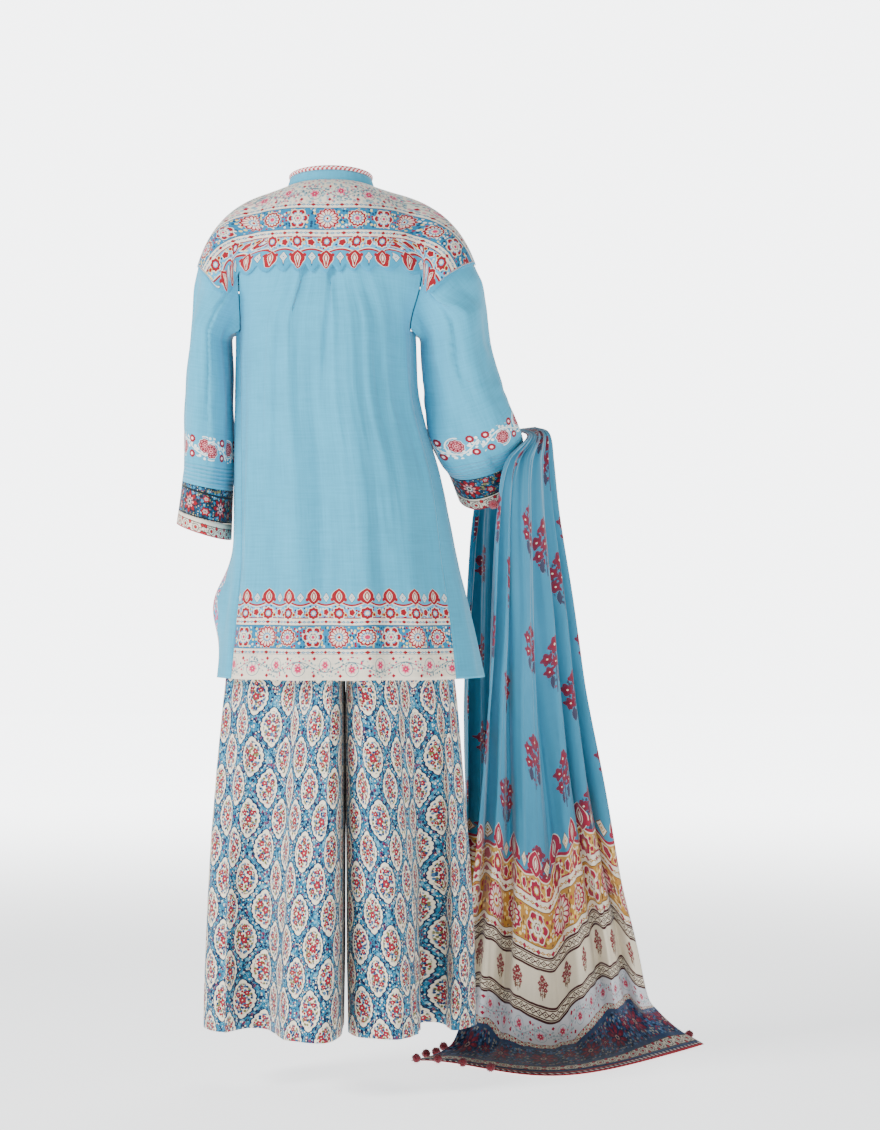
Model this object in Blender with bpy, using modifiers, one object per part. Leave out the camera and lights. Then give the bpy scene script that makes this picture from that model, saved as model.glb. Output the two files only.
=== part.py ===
"""Salwar kameez suit in its worn form: kameez, wide trousers and a dupatta over one forearm.

Metres, +Z up. The origin is at the base of the neck, where the wearer's shoulders hold the suit.
The back of the suit looks along -Y, and the wearer's right is +X.
"""
import math
from collections import namedtuple

import bmesh
import bpy
from mathutils import Vector

# Cloth and seams
CLOTH = 0.0012
SEAM_GAP = 0.0003
OVERLAY = 0.0021
FLOOR_Z = -1.430

# Kameez: neck, collar and hem
NECK_HALF_WIDTH = 0.072
NECK_HALF_DEPTH = 0.064
NECK_MIDDLE = Vector((-0.004, 0.010, 0.022))
NECK_FORWARD_DROP = 0.17
COLLAR_HEIGHT = 0.019
COLLAR_LEAN = 0.006
PIPING_RADIUS = 0.0032
SLIT_WIDTH = 0.0010
SCALLOPS = 13
SCALLOP_DEPTH = 0.0075
SCALLOPED_TURN = 64.0
SHOULDER_LENGTH = 0.14
SHOULDER_SEAM = 96.0
SHOULDER_SEAM_LAP = 0.5
SHOULDER_SEAM_BACK = 0.6
ARMHOLE_BACK = 55.0
ARMHOLE_FRONT = 128.0
UNDERARM_Z = -0.205
FRONT_WIDTH = 0.28
PANEL_WIDTH = 0.30
GORE_WIDTH = 0.08

# Trousers
WAIST_Z = -0.385
CROTCH_Z = -0.660
CROTCH_RISE = 0.130
TROUSER_HEM_Z = -1.335
TROUSER_MIDDLE_X = 0.0198
TROUSER_SPLIT_GAP = 0.0016
INSEAM_Y = 0.010
LEG_COLUMNS = 34
OUTLINE_STEPS = 60
LEG_HEIGHTS = [-0.420, -0.480, -0.535, -0.575, -0.610, -0.640, CROTCH_Z]
LEG_HEIGHTS += [-0.71, -0.79, -0.90, -1.02, -1.14, -1.24, TROUSER_HEM_Z]

# Dupatta ends
POMPOM_RADIUS = 0.0083

# Directions round the neck, in degrees: 0 is the centre back, 90 the wearer's right, 180 the front.
LoopPoint = namedtuple("LoopPoint", "turn x y z")

# The edge of the shoulder part: the back yoke's lower edge, its two ends on the sleeves, the chest.
SHOULDER_EDGE = (
    LoopPoint(0.0, -0.007, -0.118, -0.108),
    LoopPoint(30.0, 0.060, -0.114, -0.107),
    LoopPoint(47.0, 0.118, -0.092, -0.108),
    LoopPoint(55.0, 0.143, -0.074, -0.119),
    LoopPoint(66.0, 0.158, -0.086, -0.150),
    LoopPoint(78.0, 0.190, -0.078, -0.122),
    LoopPoint(90.0, 0.225, -0.030, -0.100),
    LoopPoint(104.0, 0.222, 0.036, -0.104),
    LoopPoint(118.0, 0.178, 0.078, -0.135),
    LoopPoint(128.0, 0.140, 0.082, -0.125),
    LoopPoint(150.0, 0.075, 0.118, -0.118),
    LoopPoint(180.0, 0.000, 0.130, -0.116),
    LoopPoint(210.0, -0.080, 0.118, -0.118),
    LoopPoint(232.0, -0.140, 0.082, -0.125),
    LoopPoint(242.0, -0.172, 0.078, -0.135),
    LoopPoint(256.0, -0.206, 0.040, -0.104),
    LoopPoint(270.0, -0.216, -0.022, -0.102),
    LoopPoint(282.0, -0.201, -0.070, -0.122),
    LoopPoint(294.0, -0.174, -0.086, -0.151),
    LoopPoint(305.0, -0.148, -0.074, -0.116),
    LoopPoint(313.0, -0.125, -0.092, -0.109),
    LoopPoint(330.0, -0.075, -0.114, -0.107),
)

# The loop that rounds the shoulders between the neck and that edge.
SHOULDER_ROUND = (
    LoopPoint(0.0, -0.005, -0.112, 0.004),
    LoopPoint(30.0, 0.056, -0.108, 0.008),
    LoopPoint(55.0, 0.130, -0.072, -0.004),
    LoopPoint(78.0, 0.180, -0.034, 0.002),
    LoopPoint(96.0, 0.192, 0.004, 0.008),
    LoopPoint(128.0, 0.140, 0.072, -0.016),
    LoopPoint(150.0, 0.070, 0.096, -0.030),
    LoopPoint(180.0, 0.000, 0.104, -0.040),
    LoopPoint(210.0, -0.070, 0.096, -0.030),
    LoopPoint(232.0, -0.140, 0.072, -0.016),
    LoopPoint(264.0, -0.184, 0.006, 0.008),
    LoopPoint(282.0, -0.176, -0.032, 0.002),
    LoopPoint(305.0, -0.132, -0.072, -0.004),
    LoopPoint(330.0, -0.062, -0.108, 0.008),
)

# Level sections of the kameez below the armholes, and the directions of its four side seams.
BodySection = namedtuple(
    "BodySection",
    "z middle_x half_width back_y front_y seam_back_right seam_front_right seam_front_left seam_back_left",
)
BODY_SECTIONS = (
    BodySection(-0.205, -0.012, 0.143, -0.126, 0.140, 72.0, 106.0, 254.0, 290.0),
    BodySection(-0.316, -0.009, 0.146, -0.131, 0.143, 70.0, 108.0, 252.0, 291.0),
    BodySection(-0.445, 0.008, 0.166, -0.138, 0.146, 65.0, 112.0, 248.0, 294.0),
    BodySection(-0.575, 0.019, 0.182, -0.147, 0.152, 59.0, 116.0, 244.0, 297.0),
    BodySection(-0.680, 0.0245, 0.2015, -0.156, 0.162, 55.0, 119.0, 241.0, 299.0),
    BodySection(-0.764, 0.028, 0.216, -0.164, 0.170, 52.0, 121.0, 239.0, 300.0),
)

# Soft folds of a panel: their place across it at the top and the hem, how proud and how wide.
Fold = namedtuple("Fold", "top hem proud_top proud_hem wide_top wide_hem")
BACK_FOLDS = (
    Fold(0.10, 0.07, 0.001, 0.006, 0.03, 0.06),
    Fold(0.25, 0.21, 0.000, -0.006, 0.04, 0.06),
    Fold(0.35, 0.33, 0.006, 0.010, 0.022, 0.06),
    Fold(0.44, 0.45, -0.002, -0.008, 0.03, 0.05),
    Fold(0.53, 0.57, 0.006, 0.009, 0.022, 0.06),
    Fold(0.66, 0.69, -0.001, -0.006, 0.04, 0.05),
    Fold(0.80, 0.81, 0.002, 0.008, 0.04, 0.05),
    Fold(0.93, 0.94, -0.001, -0.003, 0.03, 0.04),
)
FRONT_FOLDS = (
    Fold(0.12, 0.09, 0.001, 0.007, 0.04, 0.06),
    Fold(0.27, 0.24, 0.000, -0.006, 0.04, 0.06),
    Fold(0.40, 0.37, 0.002, 0.009, 0.04, 0.06),
    Fold(0.52, 0.50, -0.001, -0.006, 0.04, 0.05),
    Fold(0.63, 0.65, 0.001, 0.008, 0.04, 0.06),
    Fold(0.78, 0.79, 0.000, -0.005, 0.04, 0.05),
    Fold(0.90, 0.91, 0.001, 0.006, 0.04, 0.05),
)
NO_FOLDS = ()

# Rows of the body's panels from under the arm, 1, to the hem, 2, shared so that their seams meet.
BACK_TOP_LEVELS = [-0.08, -0.001, 0.22, 0.45, 0.72]
BACK_TUCKED = 0.99
BACK_PLEATS = (0.33, 0.35, 0.37, 0.44, 0.51, 0.53, 0.55)
BODY_LEVELS = [1.0, 1.09, 1.19, 1.30, 1.41, 1.52, 1.63, 1.74, 1.87, 2.0]

# Rows of the shoulder part, from the neck to its edge.
SHOULDER_OUTS = (0.0085, 0.22, 0.42, 0.62, 0.80, 0.93, 1.0)
YOKE_NECK_OUT = 0.003
FOLDS_START = 0.016
FOLDS_RISE = 0.05
FOLDS_EDGE = 0.05

# Sleeve sections: the outer and the inner end of each, and how deep it is behind and in front.
SleeveSection = namedtuple("SleeveSection", "down outer_x outer_y outer_z inner_x inner_y inner_z back front")
LEFT_SLEEVE = (
    SleeveSection(0.28, -0.227, 0.000, -0.186, -0.166, 0.000, -0.222, 0.084, 0.080),
    SleeveSection(0.42, -0.233, 0.004, -0.251, -0.163, 0.004, -0.270, 0.086, 0.086),
    SleeveSection(0.58, -0.237, 0.008, -0.316, -0.163, 0.008, -0.330, 0.086, 0.088),
    SleeveSection(0.72, -0.241, 0.012, -0.381, -0.163, 0.012, -0.394, 0.086, 0.090),
    SleeveSection(0.86, -0.2446, 0.016, -0.4455, -0.164, 0.016, -0.462, 0.087, 0.092),
    SleeveSection(1.00, -0.254, 0.020, -0.514, -0.167, 0.020, -0.542, 0.088, 0.094),
)
RIGHT_SLEEVE = (
    SleeveSection(0.24, 0.248, 0.004, -0.165, 0.146, 0.004, -0.222, 0.078, 0.074),
    SleeveSection(0.38, 0.260, 0.006, -0.235, 0.149, 0.004, -0.272, 0.074, 0.076),
    SleeveSection(0.52, 0.279, 0.010, -0.300, 0.155, 0.002, -0.330, 0.070, 0.080),
    SleeveSection(0.66, 0.295, 0.020, -0.345, 0.160, -0.004, -0.378, 0.062, 0.086),
    SleeveSection(0.78, 0.300, 0.038, -0.372, 0.181, -0.004, -0.422, 0.054, 0.086),
    SleeveSection(0.88, 0.299, 0.056, -0.394, 0.201, 0.004, -0.448, 0.046, 0.072),
    SleeveSection(1.00, 0.296, 0.084, -0.424, 0.226, 0.022, -0.492, 0.040, 0.062),
)
CUFF_START = 0.86
CUFF_BORDER_START = 0.955
CUFF_GAP = 0.0008

# The armhole: how far a sleeve stands off it and tucks under the yoke, and its share under the arm.
SLEEVE_CLEAR = 0.0018
SLEEVE_TUCKED_OUT = 0.985
SLEEVE_UNTUCKED_OUT = 1.013
UNDER_CORNER = 0.40
BEFORE_ARMHOLE = -0.12
BEFORE_ARMHOLE_OUT = 0.70
BEFORE_ARMHOLE_STEP = 0.02

# Trouser sections above the hem: the whole width and depth of both legs together.
TrouserSection = namedtuple("TrouserSection", "z middle_x half_width back_y front_y hem_share")
TROUSER_SECTIONS = (
    TrouserSection(-0.420, 0.002, 0.134, -0.106, 0.104, 0.00),
    TrouserSection(-0.500, 0.007, 0.152, -0.126, 0.112, 0.00),
    TrouserSection(-0.580, 0.012, 0.163, -0.1411, 0.120, 0.02),
    TrouserSection(-0.660, 0.012, 0.171, -0.140, 0.126, 0.08),
    TrouserSection(-0.760, 0.010, 0.180, -0.139, 0.132, 0.20),
    TrouserSection(-0.950, 0.010, 0.194, -0.138, 0.134, 0.48),
    TrouserSection(-1.150, 0.010, 0.206, -0.138, 0.136, 0.76),
    TrouserSection(-1.335, 0.010, 0.214, -0.138, 0.138, 1.00),
)

# Each leg's hem in plan, from the inseam round the back, the outer side and the front.
HemPoint = namedtuple("HemPoint", "along x y")
LEFT_HEM = (
    HemPoint(0.000, 0.0150, 0.010),
    HemPoint(0.100, 0.0120, -0.080),
    HemPoint(0.165, -0.012, -0.146),
    HemPoint(0.235, -0.076, -0.112),
    HemPoint(0.310, -0.112, -0.010),
    HemPoint(0.360, -0.142, -0.002),
    HemPoint(0.420, -0.172, -0.046),
    HemPoint(0.485, -0.214, 0.010),
    HemPoint(0.560, -0.212, 0.082),
    HemPoint(0.620, -0.176, 0.116),
    HemPoint(0.680, -0.146, 0.082),
    HemPoint(0.730, -0.116, 0.088),
    HemPoint(0.800, -0.078, 0.140),
    HemPoint(0.860, -0.028, 0.134),
    HemPoint(0.920, 0.0110, 0.094),
    HemPoint(1.000, 0.0150, 0.010),
)
RIGHT_HEM = (
    HemPoint(0.000, 0.0250, 0.010),
    HemPoint(0.090, 0.0280, -0.040),
    HemPoint(0.150, 0.050, -0.088),
    HemPoint(0.220, 0.108, -0.112),
    HemPoint(0.290, 0.140, -0.052),
    HemPoint(0.350, 0.146, 0.042),
    HemPoint(0.390, 0.166, 0.050),
    HemPoint(0.450, 0.196, -0.016),
    HemPoint(0.520, 0.236, 0.040),
    HemPoint(0.590, 0.222, 0.110),
    HemPoint(0.650, 0.182, 0.136),
    HemPoint(0.710, 0.150, 0.098),
    HemPoint(0.760, 0.122, 0.096),
    HemPoint(0.830, 0.086, 0.142),
    HemPoint(0.910, 0.0290, 0.106),
    HemPoint(1.000, 0.0250, 0.010),
)

# Dupatta sections: the edge nearer the elbow, the edge nearer the hand, how far the middle bows
# towards the back of the suit, and how deep the folds are.
FallSection = namedtuple("FallSection", "down elbow_x elbow_y elbow_z hand_x hand_y hand_z bow_y fold")
NEAR_FALL = (
    FallSection(0.00, 0.292, 0.066, -0.361, 0.334, 0.204, -0.350, 0.000, 0.000),
    FallSection(0.03, 0.3145, 0.0155, -0.374, 0.356, 0.188, -0.362, -0.012, 0.001),
    FallSection(0.07, 0.2784, -0.0445, -0.414, 0.362, 0.182, -0.410, -0.030, 0.004),
    FallSection(0.14, 0.263, -0.046, -0.485, 0.370, 0.184, -0.500, -0.036, 0.007),
    FallSection(0.25, 0.254, 0.004, -0.653, 0.392, 0.196, -0.653, -0.030, 0.011),
    FallSection(0.38, 0.246, 0.086, -0.809, 0.417, 0.214, -0.812, -0.020, 0.013),
    FallSection(0.58, 0.232, 0.196, -1.065, 0.470, 0.232, -1.075, -0.010, 0.016),
    FallSection(0.74, 0.216, 0.270, -1.262, 0.512, 0.270, -1.238, -0.012, 0.018),
    FallSection(0.82, 0.206, 0.314, -1.366, 0.534, 0.322, -1.330, -0.020, 0.015),
    FallSection(0.87, 0.192, 0.322, -1.410, 0.556, 0.372, -1.362, -0.060, 0.006),
    FallSection(0.92, 0.172, 0.300, -1.424, 0.592, 0.400, -1.396, -0.120, 0.001),
    FallSection(1.00, 0.124, 0.246, -1.4272, 0.638, 0.420, -1.4272, -0.230, 0.000),
)
FAR_FALL = (
    FallSection(0.00, 0.2912, 0.0664, -0.361, 0.3332, 0.2044, -0.350, 0.000, 0.000),
    FallSection(0.03, 0.268, 0.100, -0.376, 0.304, 0.226, -0.364, 0.004, 0.001),
    FallSection(0.08, 0.238, 0.124, -0.430, 0.286, 0.238, -0.430, 0.006, 0.004),
    FallSection(0.30, 0.218, 0.170, -0.660, 0.300, 0.272, -0.660, 0.006, 0.008),
    FallSection(0.60, 0.214, 0.258, -0.980, 0.330, 0.318, -0.980, 0.006, 0.010),
    FallSection(1.00, 0.205, 0.372, -1.405, 0.372, 0.392, -1.405, 0.006, 0.013),
)
NEAR_FOLD_COUNT = 5.0
FAR_FOLD_COUNT = 3.5
NEAR_COLUMNS = 30
FAR_COLUMNS = 20
NEAR_TRIM = 0.985
FAR_TRIM = 0.988
NEAR_TRIM_GAP = 0.0004
FAR_TRIM_GAP = 0.00015
NEAR_STEPS = [0.0, 0.03, 0.07, 0.14, 0.25, 0.38, 0.48, 0.58, 0.66, 0.74, 0.82, 0.87, 0.92]
FAR_STEPS = [0.0, 0.03, 0.08, 0.19, 0.30, 0.45, 0.60, 0.80]
SLOPE_STEP = 0.02

# Pompoms on the dupatta's near end: their place along its edge.
NEAR_POMPOMS = (0.015, 0.095, 0.18, 0.27)
ELBOW_EDGE_POMPOMS = (0.8825, 0.918, 0.95)
HAND_EDGE_POMPOMS = (0.952,)
FAR_POMPOMS = (0.03, 0.35, 0.65, 0.97)
FALL_POMPOM_DOWN = 0.14
POMPOM_STEP = 0.01

# Colours as they look in daylight, with the roughness of the cloth
BLUE_COTTON = (0.36, 0.60, 0.74)
PRINTED_YOKE = (0.30, 0.44, 0.56)
STRIPED_PIPING = (0.72, 0.30, 0.32)
PRINTED_CUFF = (0.10, 0.27, 0.38)
PRINTED_TROUSER = (0.52, 0.64, 0.70)
SHEER_COTTON = (0.30, 0.52, 0.66)
RED_WOOL = (0.30, 0.01, 0.03)
CLOTH_ROUGHNESS = 0.85


def clear_scene():
    """Remove what the file opens with."""
    for thing in list(bpy.data.objects):
        bpy.data.objects.remove(thing, do_unlink=True)


def cloth_material(name, colour):
    """Return a plain cloth material."""
    material = bpy.data.materials.new(name)
    material.use_nodes = True
    shader = material.node_tree.nodes["Principled BSDF"]
    shader.inputs["Base Color"].default_value = (*colour, 1.0)
    shader.inputs["Roughness"].default_value = CLOTH_ROUGHNESS
    shader.inputs["Metallic"].default_value = 0.0
    return material


def mix(low, high, share):
    """Return the value that lies this share of the way from low to high."""
    return low + (high - low) * share


def smooth_between(keys, values, at):
    """Return the value of a smooth curve through keyed numbers or points."""
    last = len(keys) - 1
    at = min(max(at, keys[0]), keys[last])
    index = max(step for step in range(last) if keys[step] <= at)
    span = keys[index + 1] - keys[index]
    part = (at - keys[index]) / span

    def slope(step):
        before = max(step - 1, 0)
        after = min(step + 1, last)
        return (values[after] - values[before]) * (span / (keys[after] - keys[before]))

    square = part * part
    cube = square * part
    start = values[index] * (2.0 * cube - 3.0 * square + 1.0)
    end = values[index + 1] * (3.0 * square - 2.0 * cube)
    leave = slope(index) * (cube - 2.0 * square + part)
    arrive = slope(index + 1) * (cube - square)
    return start + end + leave + arrive


def table_value(rows, key, column, at):
    """Return a column of a table, smoothly, at a value of its key column."""
    keys = [getattr(row, key) for row in rows]
    values = [getattr(row, column) for row in rows]
    if keys[0] > keys[-1]:
        keys = [-value for value in keys]
        at = -at
    return smooth_between(keys, values, at)


def round_loop(rows, turn):
    """Return the point of a closed loop in a direction round the neck, in degrees."""
    turn = turn % 360.0
    keys = [rows[-2].turn - 360.0, rows[-1].turn - 360.0]
    points = [Vector(rows[-2][1:]), Vector(rows[-1][1:])]
    keys += [row.turn for row in rows]
    points += [Vector(row[1:]) for row in rows]
    keys += [rows[0].turn + 360.0, rows[1].turn + 360.0]
    points += [Vector(rows[0][1:]), Vector(rows[1][1:])]
    return smooth_between(keys, points, turn)


def neck_point(turn, rise=0.0):
    """Return a point of the neck loop, which drops towards the front, or of the collar above it."""
    angle = math.radians(turn)
    lean = 1.0 - COLLAR_LEAN * rise / (COLLAR_HEIGHT * NECK_HALF_WIDTH)
    offset_x = NECK_HALF_WIDTH * math.sin(angle) * lean
    offset_y = -NECK_HALF_DEPTH * math.cos(angle) * lean
    drop = NECK_FORWARD_DROP * offset_y
    return NECK_MIDDLE + Vector((offset_x, offset_y, rise - drop))


def shoulder_point(turn, out):
    """Return a point of the shoulders: out is 0 at the neck and 1 at the shoulder part's edge."""
    neck = neck_point(turn)
    over = round_loop(SHOULDER_ROUND, turn)
    edge = round_loop(SHOULDER_EDGE, turn)
    return neck * (1.0 - out) ** 2 + over * (2.0 * out * (1.0 - out)) + edge * out ** 2


def body_section_point(z, turn):
    """Return a point of a level section of the kameez."""
    angle = math.radians(turn)
    middle_x = table_value(BODY_SECTIONS, "z", "middle_x", z)
    half_width = table_value(BODY_SECTIONS, "z", "half_width", z)
    back_y = table_value(BODY_SECTIONS, "z", "back_y", z)
    front_y = table_value(BODY_SECTIONS, "z", "front_y", z)
    depth = -back_y if math.cos(angle) > 0.0 else front_y
    return Vector((middle_x + half_width * math.sin(angle), -depth * math.cos(angle), z))


def fold_height(folds, across, down):
    """Return how proud a panel's folds stand at a place across and down it."""
    start = min(max((down - FOLDS_START) / FOLDS_RISE, 0.0), 1.0)
    start *= min(min(across, 1.0 - across) / FOLDS_EDGE, 1.0)
    height = 0.0
    for fold in folds:
        place = mix(fold.top, fold.hem, down)
        wide = mix(fold.wide_top, fold.wide_hem, down)
        proud = mix(fold.proud_top, fold.proud_hem, down)
        height += proud * math.exp(-((across - place) / wide) ** 2)
    return height * start


def panel_point(edge_turns, seams, folds, across, level):
    """Return a point of the kameez below the shoulder part, between two of its seams.

    level is 0 at the shoulder part's edge, 1 under the arm and 2 at the hem. edge_turns are the
    directions of the panel's top corners, or None for a gore, which starts under the arm. seams
    are the names of the section columns that hold the panel's two side seams.
    """
    hem_z = BODY_SECTIONS[-1].z
    z = mix(UNDERARM_Z, hem_z, level - 1.0)
    start = table_value(BODY_SECTIONS, "z", seams[0], min(z, UNDERARM_Z))
    end = table_value(BODY_SECTIONS, "z", seams[1], min(z, UNDERARM_Z))
    if end < start:
        start -= 360.0
    turn = mix(start, end, across)
    if edge_turns is None:
        point = body_section_point(z, turn)
        top_z = UNDERARM_Z
    else:
        edge = round_loop(SHOULDER_EDGE, mix(edge_turns[0], edge_turns[1], across))
        top_z = edge.z
        if level < 1.0:
            z = mix(top_z, UNDERARM_Z, level)
        point = body_section_point(max(min(z, UNDERARM_Z), hem_z), turn)
        point.z = z
        share = min(max(1.0 - level, 0.0), 1.0)
        share = share * share * (3.0 - 2.0 * share)
        point += Vector((edge.x - point.x, edge.y - point.y, 0.0)) * share
    away = Vector((point.x, point.y, 0.0))
    drop = (top_z - z) / (top_z - hem_z)
    return point + away.normalized() * fold_height(folds, across, drop)


def spread(count, low=0.0, high=1.0):
    """Return evenly spaced values from low to high."""
    return [mix(low, high, step / count) for step in range(count + 1)]


def seam_share(panel_width):
    """Return the share of a panel's width that half of a seam's gap takes."""
    return 0.5 * SEAM_GAP / panel_width


def face_outwards(grid, inside):
    """Turn the faces so that they look away from a point inside the piece."""
    grid.normal_update()
    outwards = 0.0
    for face in grid.faces:
        away = face.calc_center_median() - inside
        outwards += away.dot(face.normal) * face.calc_area()
    if outwards < 0.0:
        bmesh.ops.reverse_faces(grid, faces=grid.faces)


def laid_cloth(name, place, across, down, material, inside, skipped=None, moved_out=0.0):
    """Make one cloth piece: a grid laid on its surface, welded where it closes, and given a wall.

    place turns a value across and a value down into a point. inside is a point that the piece goes
    round. skipped drops cells of the grid by their column and row. moved_out lays the piece on top
    of another one made from the same points.
    """
    columns = len(across) - 1
    rows = len(down) - 1
    grid = bmesh.new()
    bmesh.ops.create_grid(grid, x_segments=columns, y_segments=rows, size=0.5)
    if skipped is not None:
        holes = []
        for face in grid.faces:
            centre = face.calc_center_median()
            column = int((centre.x + 0.5) * columns)
            row = int((centre.y + 0.5) * rows)
            if skipped(column, row):
                holes.append(face)
        bmesh.ops.delete(grid, geom=holes, context="FACES")
    for vertex in grid.verts:
        column = round((vertex.co.x + 0.5) * columns)
        row = round((vertex.co.y + 0.5) * rows)
        vertex.co = place(across[column], down[row])
    bmesh.ops.remove_doubles(grid, verts=grid.verts, dist=0.00001)
    face_outwards(grid, inside)
    if moved_out:
        grid.normal_update()
        steps = [vertex.normal * moved_out for vertex in grid.verts]
        for vertex, step in zip(grid.verts, steps):
            vertex.co += step
    mesh = bpy.data.meshes.new(name)
    grid.to_mesh(mesh)
    grid.free()
    mesh.shade_smooth()
    mesh.materials.append(material)
    piece = bpy.data.objects.new(name, mesh)
    SUIT.objects.link(piece)
    wall = piece.modifiers.new("wall", "SOLIDIFY")
    wall.thickness = CLOTH
    wall.offset = 0.0
    return piece


def make_collar(blue, striped):
    """Make the standing collar band, open at the front, and the piping on its top edge."""
    opening = math.degrees(SLIT_WIDTH / NECK_HALF_DEPTH)
    turns = spread(26, -180.0 + opening, 180.0 - opening)
    rises = [-0.0005, 0.5 * COLLAR_HEIGHT, COLLAR_HEIGHT]
    laid_cloth("collar_band", neck_point, turns, rises, blue, NECK_MIDDLE)

    curve = bpy.data.curves.new("collar_piping", "CURVE")
    curve.dimensions = "3D"
    curve.bevel_depth = PIPING_RADIUS
    curve.bevel_resolution = 1
    curve.use_fill_caps = True
    line = curve.splines.new("POLY")
    line.points.add(len(turns) - 1)
    seat = COLLAR_HEIGHT + PIPING_RADIUS + SEAM_GAP
    for point, turn in zip(line.points, turns):
        point.co = (*neck_point(turn, seat), 1.0)
    curve.materials.append(striped)
    piping = bpy.data.objects.new("collar_piping", curve)
    SUIT.objects.link(piping)


def make_back_yoke(printed):
    """Make the printed back yoke, which runs over both shoulders and has a scalloped lower edge."""
    end = SHOULDER_SEAM + SHOULDER_SEAM_LAP
    turns = [-end, -93.3, -90.0, -83.0, -76.0, -70.0]
    turns += spread(3 * SCALLOPS, -SCALLOPED_TURN, SCALLOPED_TURN)
    turns += [70.0, 76.0, 83.0, 90.0, 93.3, end]

    def place(turn, out):
        if out >= 1.0 and abs(turn) <= SCALLOPED_TURN:
            along = (turn + SCALLOPED_TURN) / (2.0 * SCALLOPED_TURN)
            out += SCALLOP_DEPTH * abs(math.sin(math.pi * SCALLOPS * along)) / SHOULDER_LENGTH
        return shoulder_point(turn, out)

    outs = (YOKE_NECK_OUT, *SHOULDER_OUTS[1:])
    laid_cloth("back_yoke", place, turns, outs, printed, Vector((0.0, 0.0, -0.15)), moved_out=OVERLAY)


def make_back_panel(blue):
    """Make the back, gathered into two pleats under the yoke."""
    edge = seam_share(PANEL_WIDTH)
    first, *_, last = BACK_PLEATS
    plain = [step for step in spread(20, edge, 1.0 - edge) if not first - 0.01 < step < last + 0.01]
    across = sorted([*plain, *BACK_PLEATS])
    levels = [*BACK_TOP_LEVELS, *BODY_LEVELS]

    def place(share, level):
        if level < 0.0:
            turn = BACK_TUCKED * mix(-ARMHOLE_BACK, ARMHOLE_BACK, share)
            return shoulder_point(turn, 1.0 + level)
        corners = (-ARMHOLE_BACK, ARMHOLE_BACK)
        return panel_point(corners, ("seam_back_left", "seam_back_right"), BACK_FOLDS, share, level)

    laid_cloth("back_panel", place, across, levels, blue, Vector((0.0, 0.0, -0.4)))


def make_front_panel(blue):
    """Make the front in one piece up to the shoulder seams, with its slit below the collar."""
    edge = seam_share(PANEL_WIDTH)
    lower = spread(18, edge, 1.0 - edge)
    slit = SLIT_WIDTH / (0.5 * FRONT_WIDTH)
    lower = sorted([share for share in lower if abs(share - 0.5) > 0.01] + [0.5 - slit, 0.5 + slit])
    wide = ARMHOLE_FRONT
    far = 360.0 - ARMHOLE_FRONT
    seam = SHOULDER_SEAM - SHOULDER_SEAM_BACK
    right = [seam, 99.0, 104.0, 112.0, 120.0]
    left = [360.0 - turn for turn in reversed(right)]
    turns = right + [mix(wide, far, share) for share in lower] + left
    shoulder_outs = SHOULDER_OUTS[:-1]
    levels = [0.0, 0.5] + BODY_LEVELS
    rows = [("shoulder", out) for out in shoulder_outs] + [("panel", level) for level in levels]
    slit_rows = len(shoulder_outs) + 3

    def place(turn, row):
        part, value = row
        if part == "shoulder":
            return shoulder_point(turn, value)
        share = (turn - wide) / (far - wide)
        if share < 0.0 or share > 1.0:
            return shoulder_point(turn, 1.0)
        return panel_point((wide, far), ("seam_front_right", "seam_front_left"), FRONT_FOLDS, share, value)

    def skipped(column, row):
        middle = 0.5 * (turns[column] + turns[column + 1])
        if row >= len(shoulder_outs) and (middle < wide or middle > far):
            return True
        return row < slit_rows and abs(middle - 180.0) < 0.1

    laid_cloth("front_panel", place, turns, rows, blue, Vector((0.0, 0.0, -0.4)), skipped=skipped)


def make_side_panels(blue):
    """Make the two side gores, from under the arm to the hem."""
    edge = seam_share(GORE_WIDTH)
    across = spread(5, edge, 1.0 - edge)
    levels = [1.003] + BODY_LEVELS[1:]
    sides = (
        ("side_gore_right", ("seam_back_right", "seam_front_right")),
        ("side_gore_left", ("seam_front_left", "seam_back_left")),
    )
    for name, seams in sides:
        def place(share, level, seams=seams):
            return panel_point(None, seams, NO_FOLDS, share, level)

        laid_cloth(name, place, across, levels, blue, Vector((0.0, 0.0, -0.4)))


def sleeve_section_point(rows, side, angle, down):
    """Return a point of a sleeve: angle 0 is its outer line, 90 its back and 180 its inner line."""
    def ends(at):
        outer = Vector([table_value(rows, "down", name, at) for name in ("outer_x", "outer_y", "outer_z")])
        inner = Vector([table_value(rows, "down", name, at) for name in ("inner_x", "inner_y", "inner_z")])
        return outer, inner

    outer, inner = ends(down)
    before_outer, before_inner = ends(down - 0.06)
    after_outer, after_inner = ends(down + 0.06)
    along = (after_outer + after_inner) - (before_outer + before_inner)
    half = (outer - inner) * 0.5
    backwards = along.cross(half).normalized() * side
    cosine = math.cos(math.radians(angle))
    sine = math.sin(math.radians(angle))
    reach = table_value(rows, "down", "back" if sine > 0.0 else "front", down)
    return (outer + inner) * 0.5 + half * cosine + backwards * (reach * sine)


def panel_edge(side, behind, z):
    """Return the armhole edge of the back or the front at a height."""
    sign = 1.0 if side > 0.0 else 0.0
    if behind:
        corner = ARMHOLE_BACK * side
        corners = (-ARMHOLE_BACK, ARMHOLE_BACK)
        seams = ("seam_back_left", "seam_back_right")
        share = sign
    else:
        corner = ARMHOLE_FRONT if side > 0.0 else 360.0 - ARMHOLE_FRONT
        corners = (ARMHOLE_FRONT, 360.0 - ARMHOLE_FRONT)
        seams = ("seam_front_right", "seam_front_left")
        share = 1.0 - sign
    top_z = round_loop(SHOULDER_EDGE, corner).z
    level = (z - top_z) / (UNDERARM_Z - top_z)
    return panel_point(corners, seams, NO_FOLDS, share, level)


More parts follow.
